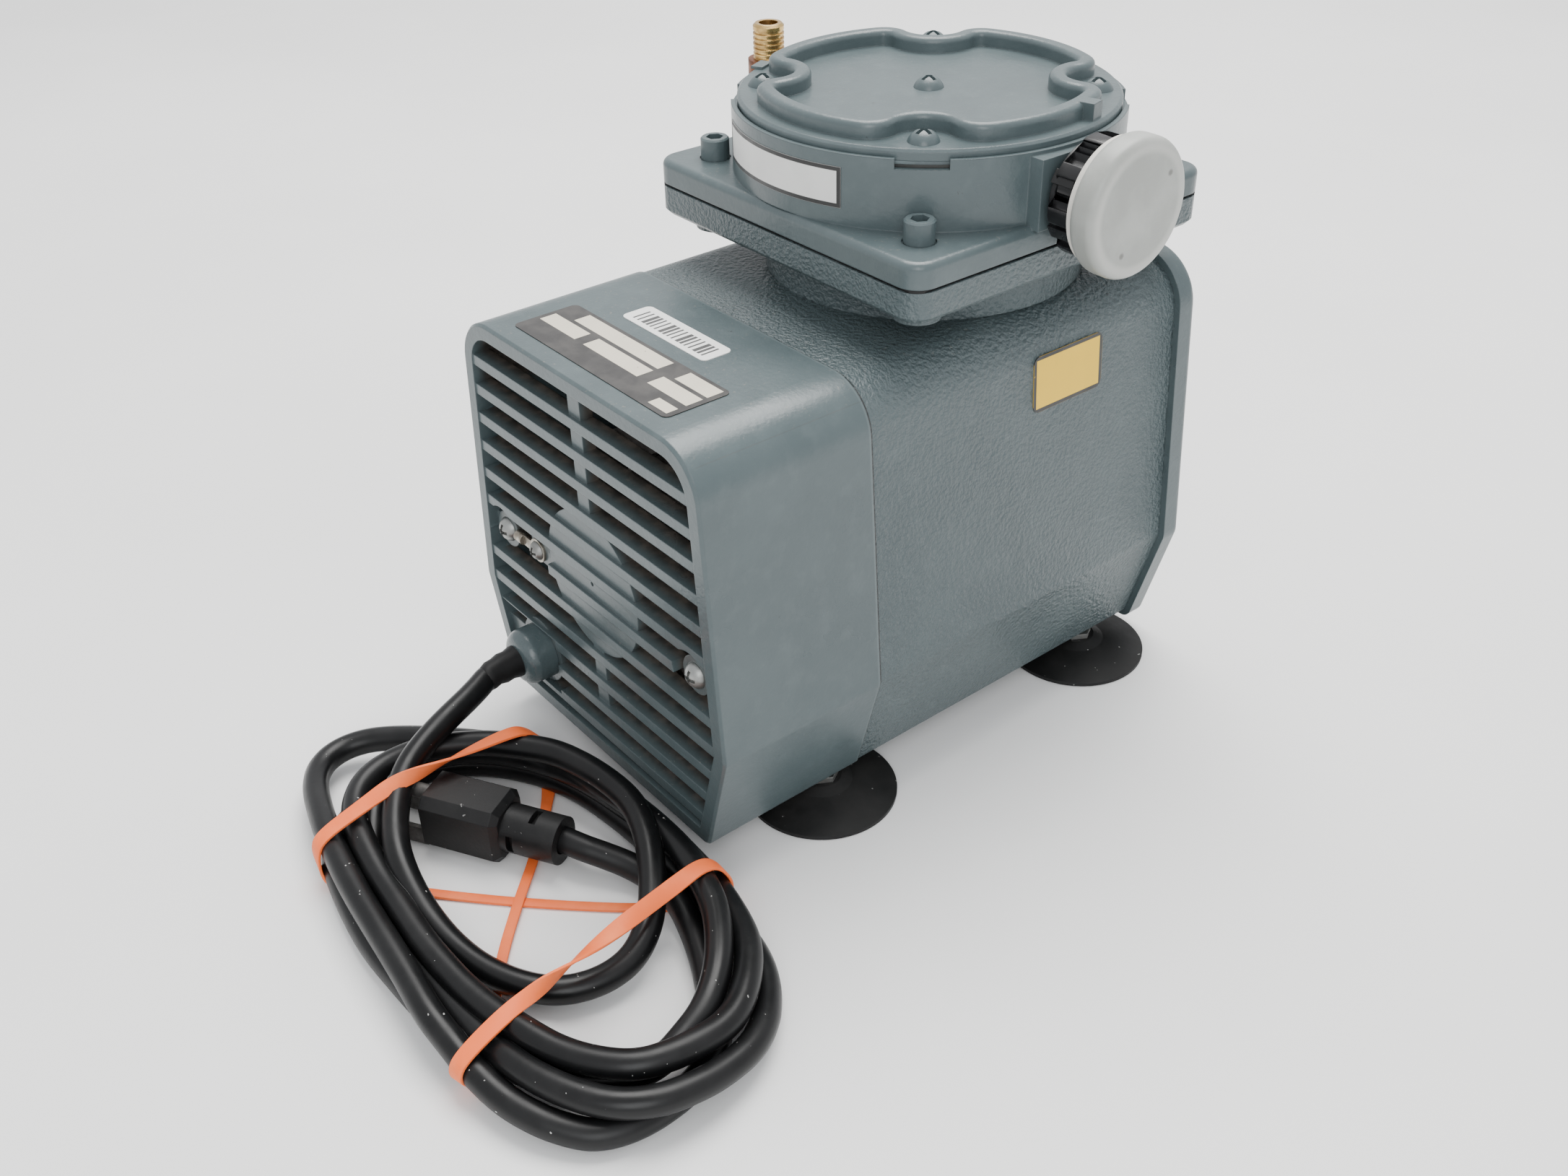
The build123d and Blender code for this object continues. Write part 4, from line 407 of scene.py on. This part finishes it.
# %% A small helper for building materials
class Finish:
    """One node material: the shader, the piece's own coordinates, and short calls that add nodes."""

    def __init__(self, name, base, roughness=0.5, metallic=0.0):
        self.material = bpy.data.materials.new(name)
        self.material.use_nodes = True
        self.tree = self.material.node_tree
        self.shader = self.tree.nodes["Principled BSDF"]
        self.shader.inputs["Base Color"].default_value = (*base, 1)
        self.shader.inputs["Roughness"].default_value = roughness
        self.shader.inputs["Metallic"].default_value = metallic
        coordinates = self.tree.nodes.new("ShaderNodeTexCoord")
        self.place = coordinates.outputs["Object"]
        self.facing = coordinates.outputs["Normal"]

    def node(self, kind, links=(), **settings):
        """Adds a node; links gives its inputs as sockets or plain values."""
        made = self.tree.nodes.new(kind)
        for key, value in settings.items():
            setattr(made, key, value)
        for key, value in dict(links).items():
            if isinstance(value, bpy.types.NodeSocket):
                self.tree.links.new(value, made.inputs[key])
            else:
                made.inputs[key].default_value = value
        return made

    def noise(self, scale, detail=4.0, rough=0.55):
        return self.node("ShaderNodeTexNoise", {
            "Vector": self.place, "Scale": scale, "Detail": detail, "Roughness": rough}).outputs["Fac"]

    def step(self, value, low, high, out_low=0.0, out_high=1.0):
        """A soft step from out_low to out_high as value goes from low to high."""
        return self.node("ShaderNodeMapRange", {
            "Value": value, "From Min": low, "From Max": high, "To Min": out_low, "To Max": out_high},
            interpolation_type="SMOOTHSTEP").outputs["Result"]

    def math(self, operation, first, second=0.0):
        return self.node("ShaderNodeMath", {0: first, 1: second}, operation=operation).outputs[0]

    def mix(self, share, first, second):
        """A colour blend; a colour is given as three numbers or as a socket."""
        colours = [c if isinstance(c, bpy.types.NodeSocket) else (*c, 1) for c in (first, second)]
        made = self.node("ShaderNodeMix", {0: share, 6: colours[0], 7: colours[1]}, data_type="RGBA")
        return made.outputs[2]

    def axes(self, vector=None):
        return self.node("ShaderNodeSeparateXYZ", {0: vector or self.place}).outputs

    def within(self, value, low, high, soft=0.0002):
        """A mask that is 1 between low and high."""
        return self.math("MULTIPLY", self.step(value, low - soft, low + soft),
                         self.step(value, high + soft, high - soft))

    def colour(self, socket):
        self.tree.links.new(socket, self.shader.inputs["Base Color"])

    def rough(self, value, low, high):
        self.tree.links.new(self.step(value, 0.3, 0.7, low, high), self.shader.inputs["Roughness"])

    def bump(self, height, strength, distance, edge=0.0):
        """A bump, over normals that are rounded at sharp edges by the radius edge."""
        links = {"Strength": strength, "Distance": distance, "Height": height}
        if edge:
            links["Normal"] = self.node("ShaderNodeBevel", {"Radius": edge}, samples=4).outputs[0]
        made = self.node("ShaderNodeBump", links)
        self.tree.links.new(made.outputs[0], self.shader.inputs["Normal"])


def dress(finish, *names):
    """Puts a finish on CAD nodes or pieces."""
    for name in names:
        piece = bpy.data.objects[name]
        piece.data.materials.clear()
        piece.data.materials.append(finish.material)


print("helpers for finishes ready")

# %% [markdown]
# ### Enamel
# The castings are sprayed with a blue-grey semi-gloss enamel. It has a fine orange peel, a slightly
# blotchy tone from old grease, small dark chips, and dust that settles on what faces up. The housing's
# sides were cast in sand, so a coarser pebbled bump shows through the paint there. Each of these is a
# noise at its own scale, passed through a soft step to become a mask, and the masks are laid over the
# base tone one after another, as the dirt was.

# %% Enamel finishes
ENAMEL = (0.074, 0.099, 0.104)
ENAMEL_DEEP = (0.060, 0.082, 0.087)
ENAMEL_PALE = (0.120, 0.150, 0.155)
PRIMER = (0.035, 0.040, 0.042)
DUST = (0.23, 0.21, 0.18)


def enamel(name, pebble, grain, roughness=(0.26, 0.36), edge=0.0005, depth=0.0002):
    """The enamel and its colour; pebble is how strongly the casting's grain shows through it."""
    paint = Finish(name, ENAMEL, 0.35)
    blotches = paint.noise(17.0, 5.0, 0.6)
    mottle = paint.noise(160.0, 3.0)
    tone = paint.mix(paint.step(blotches, 0.35, 0.65), ENAMEL_DEEP, ENAMEL)
    tone = paint.mix(paint.step(mottle, 0.45, 0.85, 0.0, 0.25), tone, ENAMEL_PALE)
    chips = paint.step(paint.noise(95.0, 6.0, 0.7), 0.715, 0.735)
    tone = paint.mix(chips, tone, PRIMER)
    smudges = paint.step(paint.noise(38.0, 2.0), 0.62, 0.74, 0.0, 0.35)
    tone = paint.mix(smudges, tone, ENAMEL_DEEP)
    facing_up = paint.axes(paint.facing)[2]
    specks = paint.step(paint.noise(900.0, 2.0), 0.66, 0.72)
    dust = paint.math("MULTIPLY", specks, paint.step(facing_up, 0.5, 1.0, 0.0, 0.35))
    tone = paint.mix(dust, tone, DUST)
    paint.rough(blotches, *roughness)
    casting = paint.math("MULTIPLY", paint.noise(grain, 3.0), pebble)
    peel = paint.math("ADD", paint.noise(650.0, 2.0), casting)
    paint.bump(peel, 0.4, depth, edge=edge)
    return paint, tone


smooth_enamel, smooth_tone = enamel("blue_grey_enamel", 0.4, 220.0)
smooth_enamel.colour(smooth_tone)
cast_enamel, cast_tone = enamel("pebbled_enamel", 9.0, 680.0, (0.28, 0.38), depth=0.0007)
screw_enamel, screw_tone = enamel("screw_enamel", 0.3, 260.0, (0.28, 0.40), edge=0.0001)
screw_enamel.colour(screw_tone)
print("enamel finishes ready")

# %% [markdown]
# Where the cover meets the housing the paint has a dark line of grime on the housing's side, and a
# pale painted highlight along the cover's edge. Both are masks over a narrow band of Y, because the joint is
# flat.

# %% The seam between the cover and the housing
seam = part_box("motor_housing")[0].y
SEAM_DARK = (0.020, 0.022, 0.022)
GRIME_BEFORE, GRIME_AFTER = 0.002, 0.0009
cast_along = cast_enamel.axes()[1]
cast_seam = cast_enamel.within(cast_along, seam - GRIME_BEFORE, seam + GRIME_AFTER, 0.00015)
cast_enamel.colour(cast_enamel.mix(cast_seam, cast_tone, SEAM_DARK))
print("seam at", round(seam, 4), "m")

# %% [markdown]
# The grille is one casting with the cover, but what shows between the slats is brown dust over painted
# shade. The mask is the box of the cover's hollow: it starts just behind the slats' front faces and
# deepens over the depth of a slat, so the slats' undersides are dusty and shaded and their front edges are
# clean.

# %% Grille enamel with its dusty inside in painted shade
HOLLOW_HALF, HOLLOW_LOW, HOLLOW_HIGH = 0.0560, 0.0125, 0.1378
SLAT_FACE, SLAT_DARK = -0.0912, -0.0868
# The inside colours: a brown dust, and a near-black painted shade.
INSIDE_DUST = (0.100, 0.084, 0.070)
INSIDE_PAINTED_SHADE = (0.040, 0.036, 0.032)
# How far the pale painted highlight along the cover's edge reaches either side of the seam.
HIGHLIGHT_BEFORE, HIGHLIGHT_AFTER = 0.0007, 0.001

grille_enamel, grille_tone = enamel("grille_enamel", 0.5, 260.0)
across, along, height = grille_enamel.axes()
# Behind the slat faces the cover's inside gets dust over painted shade, which deepens with depth.
hollow = grille_enamel.math("MULTIPLY", grille_enamel.within(across, -HOLLOW_HALF, HOLLOW_HALF),
                            grille_enamel.within(height, HOLLOW_LOW, HOLLOW_HIGH))
hollow = grille_enamel.math("MULTIPLY", hollow, grille_enamel.step(along, SLAT_FACE, SLAT_DARK))
# Inside the cover, brown dust patches lie over a near-black painted shade.
dust_over_painted_shade = grille_enamel.mix(grille_enamel.step(grille_enamel.noise(240.0, 5.0), 0.35, 0.7),
                          INSIDE_PAINTED_SHADE, INSIDE_DUST)
# A pale band along the cover's edge, mixed into the grille's tone as a painted highlight.
painted_rim_highlight = grille_enamel.within(along, seam - HIGHLIGHT_BEFORE, seam + HIGHLIGHT_AFTER, 0.0002)
painted_rim_highlight = grille_enamel.math("MULTIPLY", painted_rim_highlight, 0.55)
grille_tone = grille_enamel.mix(painted_rim_highlight, grille_tone, ENAMEL_PALE)
grille_enamel.colour(grille_enamel.mix(hollow, grille_tone, dust_over_painted_shade))

# %% Enamel on the castings
dress(grille_enamel, "grille_cover")
dress(cast_enamel, "motor_housing", "head_base")
dress(smooth_enamel, "end_cover", "head_casting", "head_lid", "cord_grommet")
dress(screw_enamel, "head_cap_screws", "lid_screws")
print("castings painted")

# %% [markdown]
# ### Metals
# Bare metal takes its look from its roughness: turned brass is bright, zinc is dull and cloudy, and
# the elbow below the brass fitting has gone brown. The inside of the pump is dusty too, and the fan and front
# bracket there are painted near black as shade.
# One function serves for all of them: a bright and a dull colour mixed by clouds, which also set the
# roughness, because on real metal the tarnished patches are the rough ones.

# %% Metal finishes
def metal(name, base, dull, roughness, cloud=60.0, grain=900.0, metallic=1.0):
    made = Finish(name, base, roughness[0], metallic)
    clouds = made.noise(cloud, 5.0, 0.6)
    made.colour(made.mix(made.step(clouds, 0.35, 0.7), base, dull))
    made.rough(clouds, *roughness)
    made.bump(made.noise(grain, 3.0), 0.25, 0.0001, edge=0.0003)
    return made


zinc = metal("zinc_plate", (0.36, 0.37, 0.36), (0.20, 0.20, 0.19), (0.34, 0.55))
tin = metal("tinned_copper", (0.40, 0.38, 0.33), (0.24, 0.21, 0.17), (0.32, 0.55), 300.0)
steel = metal("ground_steel", (0.60, 0.60, 0.60), (0.42, 0.41, 0.40), (0.2, 0.35))
iron_and_blade_shade = metal("cast_iron_and_blade_shade", (0.16, 0.155, 0.15), (0.07, 0.065, 0.06), (0.5, 0.7), 120.0, 500.0, 0.7)
aluminium = metal("bare_aluminium", (0.55, 0.56, 0.57), (0.36, 0.36, 0.36), (0.35, 0.55), 80.0, 420.0)
# The fan and the front bracket inside the pump are dusty, and darkened near black as painted shade.
dust_and_shade_aluminium = metal("dust_and_shade_aluminium", (0.06, 0.054, 0.048), (0.025, 0.022, 0.020), (0.6, 0.85),
                        180.0, 500.0, 0.2)
lamination = metal("stator_laminations", (0.10, 0.09, 0.085), (0.045, 0.04, 0.036), (0.5, 0.7),
                   150.0, 700.0, 0.5)
copper = metal("varnished_copper", (0.40, 0.16, 0.06), (0.16, 0.06, 0.03), (0.3, 0.5), 200.0, 1100.0, 0.8)
brass = metal("turned_brass", (0.72, 0.50, 0.20), (0.42, 0.26, 0.10), (0.18, 0.38), 240.0)
brown_brass = metal("tarnished_brass", (0.20, 0.075, 0.035), (0.09, 0.035, 0.02), (0.35, 0.6),
                    260.0, 700.0, 0.7)

# %% Metal on its parts
dress(zinc, "cover_screws", "end_cover_screws", "earth_screw", "bracket_screws", "crank_pin_screw",
      "diaphragm_screw", "reed_screws", "foot_studs", "foot_nuts")
dress(tin, "earth_terminal")
dress(steel, "motor_shaft", "front_bearing", "rear_bearing", "rod_bearing", "intake_reed",
      "exhaust_reed", "reed_clamps")
# The plug's blades take this dark iron in place of their bright metal, as painted shade where the lead hides
# them.
dress(iron_and_blade_shade, "eccentric", "rotor_core", "plug_blades")
dress(aluminium, "connecting_rod", "diaphragm_lower_clamp", "diaphragm_upper_clamp")
dress(dust_and_shade_aluminium, "cooling_fan", "front_bracket")
dress(lamination, "stator_core")
dress(copper, "stator_windings")
dress(brass, "brass_fitting")
dress(brown_brass, "outlet_elbow")
print("metal finishes ready")

# %% [markdown]
# ### Rubber and plastic
# Black rubber isn't one black. The lead is satin, with faint scuffs and white specks of lint; the feet
# are matt and dusty towards the table; the band is a dry orange with paler stretched patches. They
# share one function with a low specular level, because a pale room would turn a glossy black grey.

# %% Rubber and plastic finishes
def rubber(name, base, worn, roughness, specks=0.0, grain=700.0, bump=0.25, shine=0.28):
    made = Finish(name, base, roughness[0])
    patches = made.noise(45.0, 5.0, 0.65)
    tone = made.mix(made.step(patches, 0.4, 0.75), base, worn)
    if specks:
        lint = made.step(made.noise(520.0, 2.0, 0.5), 0.745, 0.765, 0.0, specks)
        tone = made.mix(lint, tone, (0.55, 0.55, 0.53))
    made.colour(tone)
    made.rough(patches, *roughness)
    made.bump(made.noise(grain, 3.0), bump, 0.00012, edge=0.0003)
    made.shader.inputs["Specular IOR Level"].default_value = shine
    return made


cord_rubber = rubber("cord_rubber", (0.0042, 0.0043, 0.0047), (0.0085, 0.0086, 0.0090), (0.30, 0.44),
                     0.7, 420.0, 0.2)
plug_rubber = rubber("plug_rubber", (0.0050, 0.0050, 0.0054), (0.012, 0.012, 0.012), (0.36, 0.55),
                     0.3, 800.0, 0.4)
foot_rubber = rubber("foot_rubber", (0.0070, 0.0070, 0.0070), (0.017, 0.0165, 0.016), (0.42, 0.65),
                     0.4, 300.0, 0.3)
black_rubber = rubber("black_rubber", (0.0055, 0.0055, 0.0058), (0.013, 0.013, 0.013), (0.40, 0.58), 0.3)
gasket_rubber = rubber("gasket_rubber", (0.030, 0.032, 0.031), (0.060, 0.060, 0.056), (0.5, 0.7))
black_plastic = rubber("black_plastic", (0.007, 0.007, 0.008), (0.015, 0.015, 0.015), (0.26, 0.42),
                       shine=0.4)
band_rubber = rubber("band_rubber", (0.86, 0.150, 0.032), (0.93, 0.215, 0.070), (0.45, 0.6),
                     0.0, 500.0, 0.15)
felt = rubber("wool_felt", (0.62, 0.60, 0.55), (0.48, 0.46, 0.42), (0.85, 0.95), 0.0, 1500.0, 0.8)
baffle = rubber("baffle_enamel", (0.13, 0.165, 0.172), (0.07, 0.085, 0.09), (0.35, 0.5))

# %% Rubber and plastic on their parts
dress(cord_rubber, "mains_cord")
dress(band_rubber, "rubber_band")
dress(black_rubber, "cord_strain_relief", "diaphragm")
dress(plug_rubber, "plug_body", "plug_neck")
dress(foot_rubber, *[name for name in nodes if name.startswith("foot_cup")])
dress(gasket_rubber, "head_gasket")
dress(baffle, "baffle_plate")
dress(black_plastic, "filter_body", "filter_collar")
dress(felt, "filter_felt")
print("rubber and plastic finishes ready")

# %% [markdown]
# The filter's cap is milky, and a little light goes through it, so it has some subsurface scattering.
# Its rim is paler where the plastic is thick: the mask is the distance from the cap's axis. Two small
# moulding dimples are dark spots round a point, painted shade in place of the hollows.

# %% Frosted cap
RIM_INSET = 0.0028
DIMPLE_SHADE_SPOTS = ((0.0110, 0.0080), (-0.0060, -0.0115))

frosted = Finish("frosted_plastic", (0.33, 0.34, 0.32), 0.42)
haze = frosted.noise(70.0, 4.0)
frosted_tone = frosted.mix(frosted.step(haze, 0.35, 0.7), (0.30, 0.31, 0.29), (0.37, 0.38, 0.36))
cap_places = frosted.axes()
sideways = frosted.math("SUBTRACT", cap_places[1], cap_middle.y)
upwards = frosted.math("SUBTRACT", cap_places[2], cap_middle.z)
squares = frosted.math("ADD", frosted.math("POWER", sideways, 2.0), frosted.math("POWER", upwards, 2.0))
from_axis = frosted.math("POWER", squares, 0.5)
inside_cap = frosted.math("ABSOLUTE", frosted.math("SUBTRACT", from_axis, CAP_RADIUS - RIM_INSET))
rim_ring = frosted.step(inside_cap, 0.0022, 0.0002, 0.0, 0.55)
frosted_tone = frosted.mix(rim_ring, frosted_tone, (0.50, 0.50, 0.47))
# Each dimple is a small dark spot of painted shade.
for side_step, up_step in DIMPLE_SHADE_SPOTS:
    centre = (cap_high.x, cap_middle.y + side_step, cap_middle.z + up_step)
    away = frosted.node("ShaderNodeVectorMath", {0: frosted.place, 1: centre}, operation="DISTANCE")
    dimple_shade = frosted.step(away.outputs["Value"], 0.0013, 0.0005, 0.0, 0.75)
    frosted_tone = frosted.mix(dimple_shade, frosted_tone, (0.10, 0.10, 0.09))
frosted.colour(frosted_tone)
frosted.rough(haze, 0.32, 0.48)
frosted.bump(frosted.noise(500.0, 2.0), 0.12, 0.0001, edge=0.0004)
frosted.shader.inputs["Subsurface Weight"].default_value = 0.25
frosted.shader.inputs["Subsurface Radius"].default_value = (0.003, 0.003, 0.0028)
dress(frosted, "frosted_cap")
print("cap frosted")

# %% [markdown]
# ### Labels
# The labels carry no wording. Each is a sheet with printed panels, and a panel is a mask made by
# comparing the piece's own coordinates with the panel's edges. That keeps the print sharp at any size,
# and a noise lets a little of the ink wear off.

# %% Printed panels
PRINT_BLUR = 0.0001


def panel(sheet, first, second, rectangle):
    """A mask that is 1 inside (left, right, bottom, top), in metres."""
    left, right_side, bottom, top = rectangle
    return sheet.math("MULTIPLY", sheet.within(first, left, right_side, PRINT_BLUR),
                      sheet.within(second, bottom, top, PRINT_BLUR))


def label(name, ground, ink, rectangles, first_axis, second_axis, roughness=0.4):
    """A printed sheet; the two axes are those that the rectangles are measured along."""
    sheet = Finish(name, ground, roughness)
    grime = sheet.noise(150.0, 4.0)
    tone = sheet.mix(sheet.step(grime, 0.4, 0.8, 0.0, 0.08), ground, (0.30, 0.28, 0.25))
    places = sheet.axes()
    printed = None
    for rectangle in rectangles:
        mask = panel(sheet, places[first_axis], places[second_axis], rectangle)
        printed = mask if printed is None else sheet.math("MAXIMUM", printed, mask)
    worn = sheet.math("MULTIPLY", printed, sheet.step(sheet.noise(420.0, 3.0), 0.20, 0.30))
    sheet.colour(sheet.mix(worn, tone, ink))
    sheet.rough(grime, roughness - 0.08, roughness + 0.12)
    sheet.bump(sheet.noise(800.0, 2.0), 0.1, 0.00005)
    return sheet


def border(low, high, axis, thick=0.0012):
    """Four strips along the edges of a label's box, seen across axis and Z."""
    left, right_side, bottom, top = low[axis], high[axis], low.z, high.z
    return [(left, right_side, bottom, bottom + thick), (left, right_side, top - thick, top),
            (left, left + thick, bottom, top), (right_side - thick, right_side, bottom, top)]


# %% The four labels
RATING_PANELS = [
    (-0.0300, 0.0125, -0.0698, -0.0643), (0.0205, 0.0355, -0.0698, -0.0643),
    (-0.0377, -0.0190, -0.0768, -0.0713), (-0.0145, 0.0125, -0.0768, -0.0713),
    (0.0175, 0.0355, -0.0768, -0.0713), (0.0270, 0.0355, -0.0832, -0.0794)]
STOCK_BARS = [
    (-0.0205 + 0.0021 * bar, -0.0197 + 0.0021 * bar + 0.0004 * (bar * 7 % 4 % 3), -0.0556, -0.0494)
    for bar in range(17)]
SIDE_FRAME = border(*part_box("side_label"), axis=1)
HEAD_FRAME = border(*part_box("head_label"), axis=0)
dress(label("rating_print", (0.022, 0.020, 0.019), (0.62, 0.57, 0.46), RATING_PANELS, 0, 1), "rating_plate")
dress(label("stock_print", (0.80, 0.80, 0.78), (0.05, 0.05, 0.05), STOCK_BARS, 0, 1), "stock_label")
dress(label("side_print", (0.80, 0.50, 0.012), (0.02, 0.02, 0.02), SIDE_FRAME, 1, 2), "side_label")
dress(label("head_print", (0.70, 0.70, 0.68), (0.02, 0.02, 0.02), HEAD_FRAME, 0, 2), "head_label")
print("labels ready")

# %% [markdown]
# ## Table and light
# A pale table top reaches past the edges of the view. The light is soft and comes from above: a
# large area lamp a little behind the pump, a weaker one in front, and a pale surround. Small lamps
# would give hard shadows, and a surround alone would leave the coil without a shadow to lie on.

# %% Table top
TABLE_SIZE, TABLE_DROP = 6.0, 0.0002
bpy.ops.object.select_all(action="DESELECT")
bpy.ops.mesh.primitive_plane_add(size=TABLE_SIZE, location=(0, 0, -TABLE_DROP))
table_top = bpy.context.active_object
table_top.name = "table_top"
table_finish = Finish("table_paint", (0.80, 0.80, 0.79), 0.55)
table_finish.colour(table_finish.mix(table_finish.step(table_finish.noise(3.0, 4.0), 0.3, 0.7),
                                     (0.78, 0.78, 0.775), (0.83, 0.83, 0.825)))
table_finish.bump(table_finish.noise(180.0, 3.0), 0.05, 0.0002)
dress(table_finish, "table_top")
print("table", TABLE_SIZE, "m wide")

# %% Lamps and surround
def lamp(name, place, target, size, power, tint):
    """A round area lamp that faces its target; size in metres, power in watts."""
    data = bpy.data.lights.new(name, "AREA")
    data.shape = "DISK"
    data.size = size
    data.energy = power
    data.color = tint
    made = bpy.data.objects.new(name, data)
    bpy.context.scene.collection.objects.link(made)
    made.location = place
    made.rotation_euler = (Vector(target) - Vector(place)).to_track_quat("-Z", "Y").to_euler()


lamp("ceiling_lamp", (-0.35, 0.45, 1.5), (0, 0, 0.05), 1.3, 46.0, (1.0, 0.99, 0.97))
lamp("window_lamp", (1.1, -0.9, 0.9), (0, 0, 0.08), 1.0, 11.0, (0.97, 0.99, 1.0))
world = bpy.data.worlds.new("surround")
bpy.context.scene.world = world
world.use_nodes = True
surround = world.node_tree.nodes["Background"]
surround.inputs["Color"].default_value = (0.97, 0.98, 1.0, 1)
surround.inputs["Strength"].default_value = 1.1
print("lamps ready")
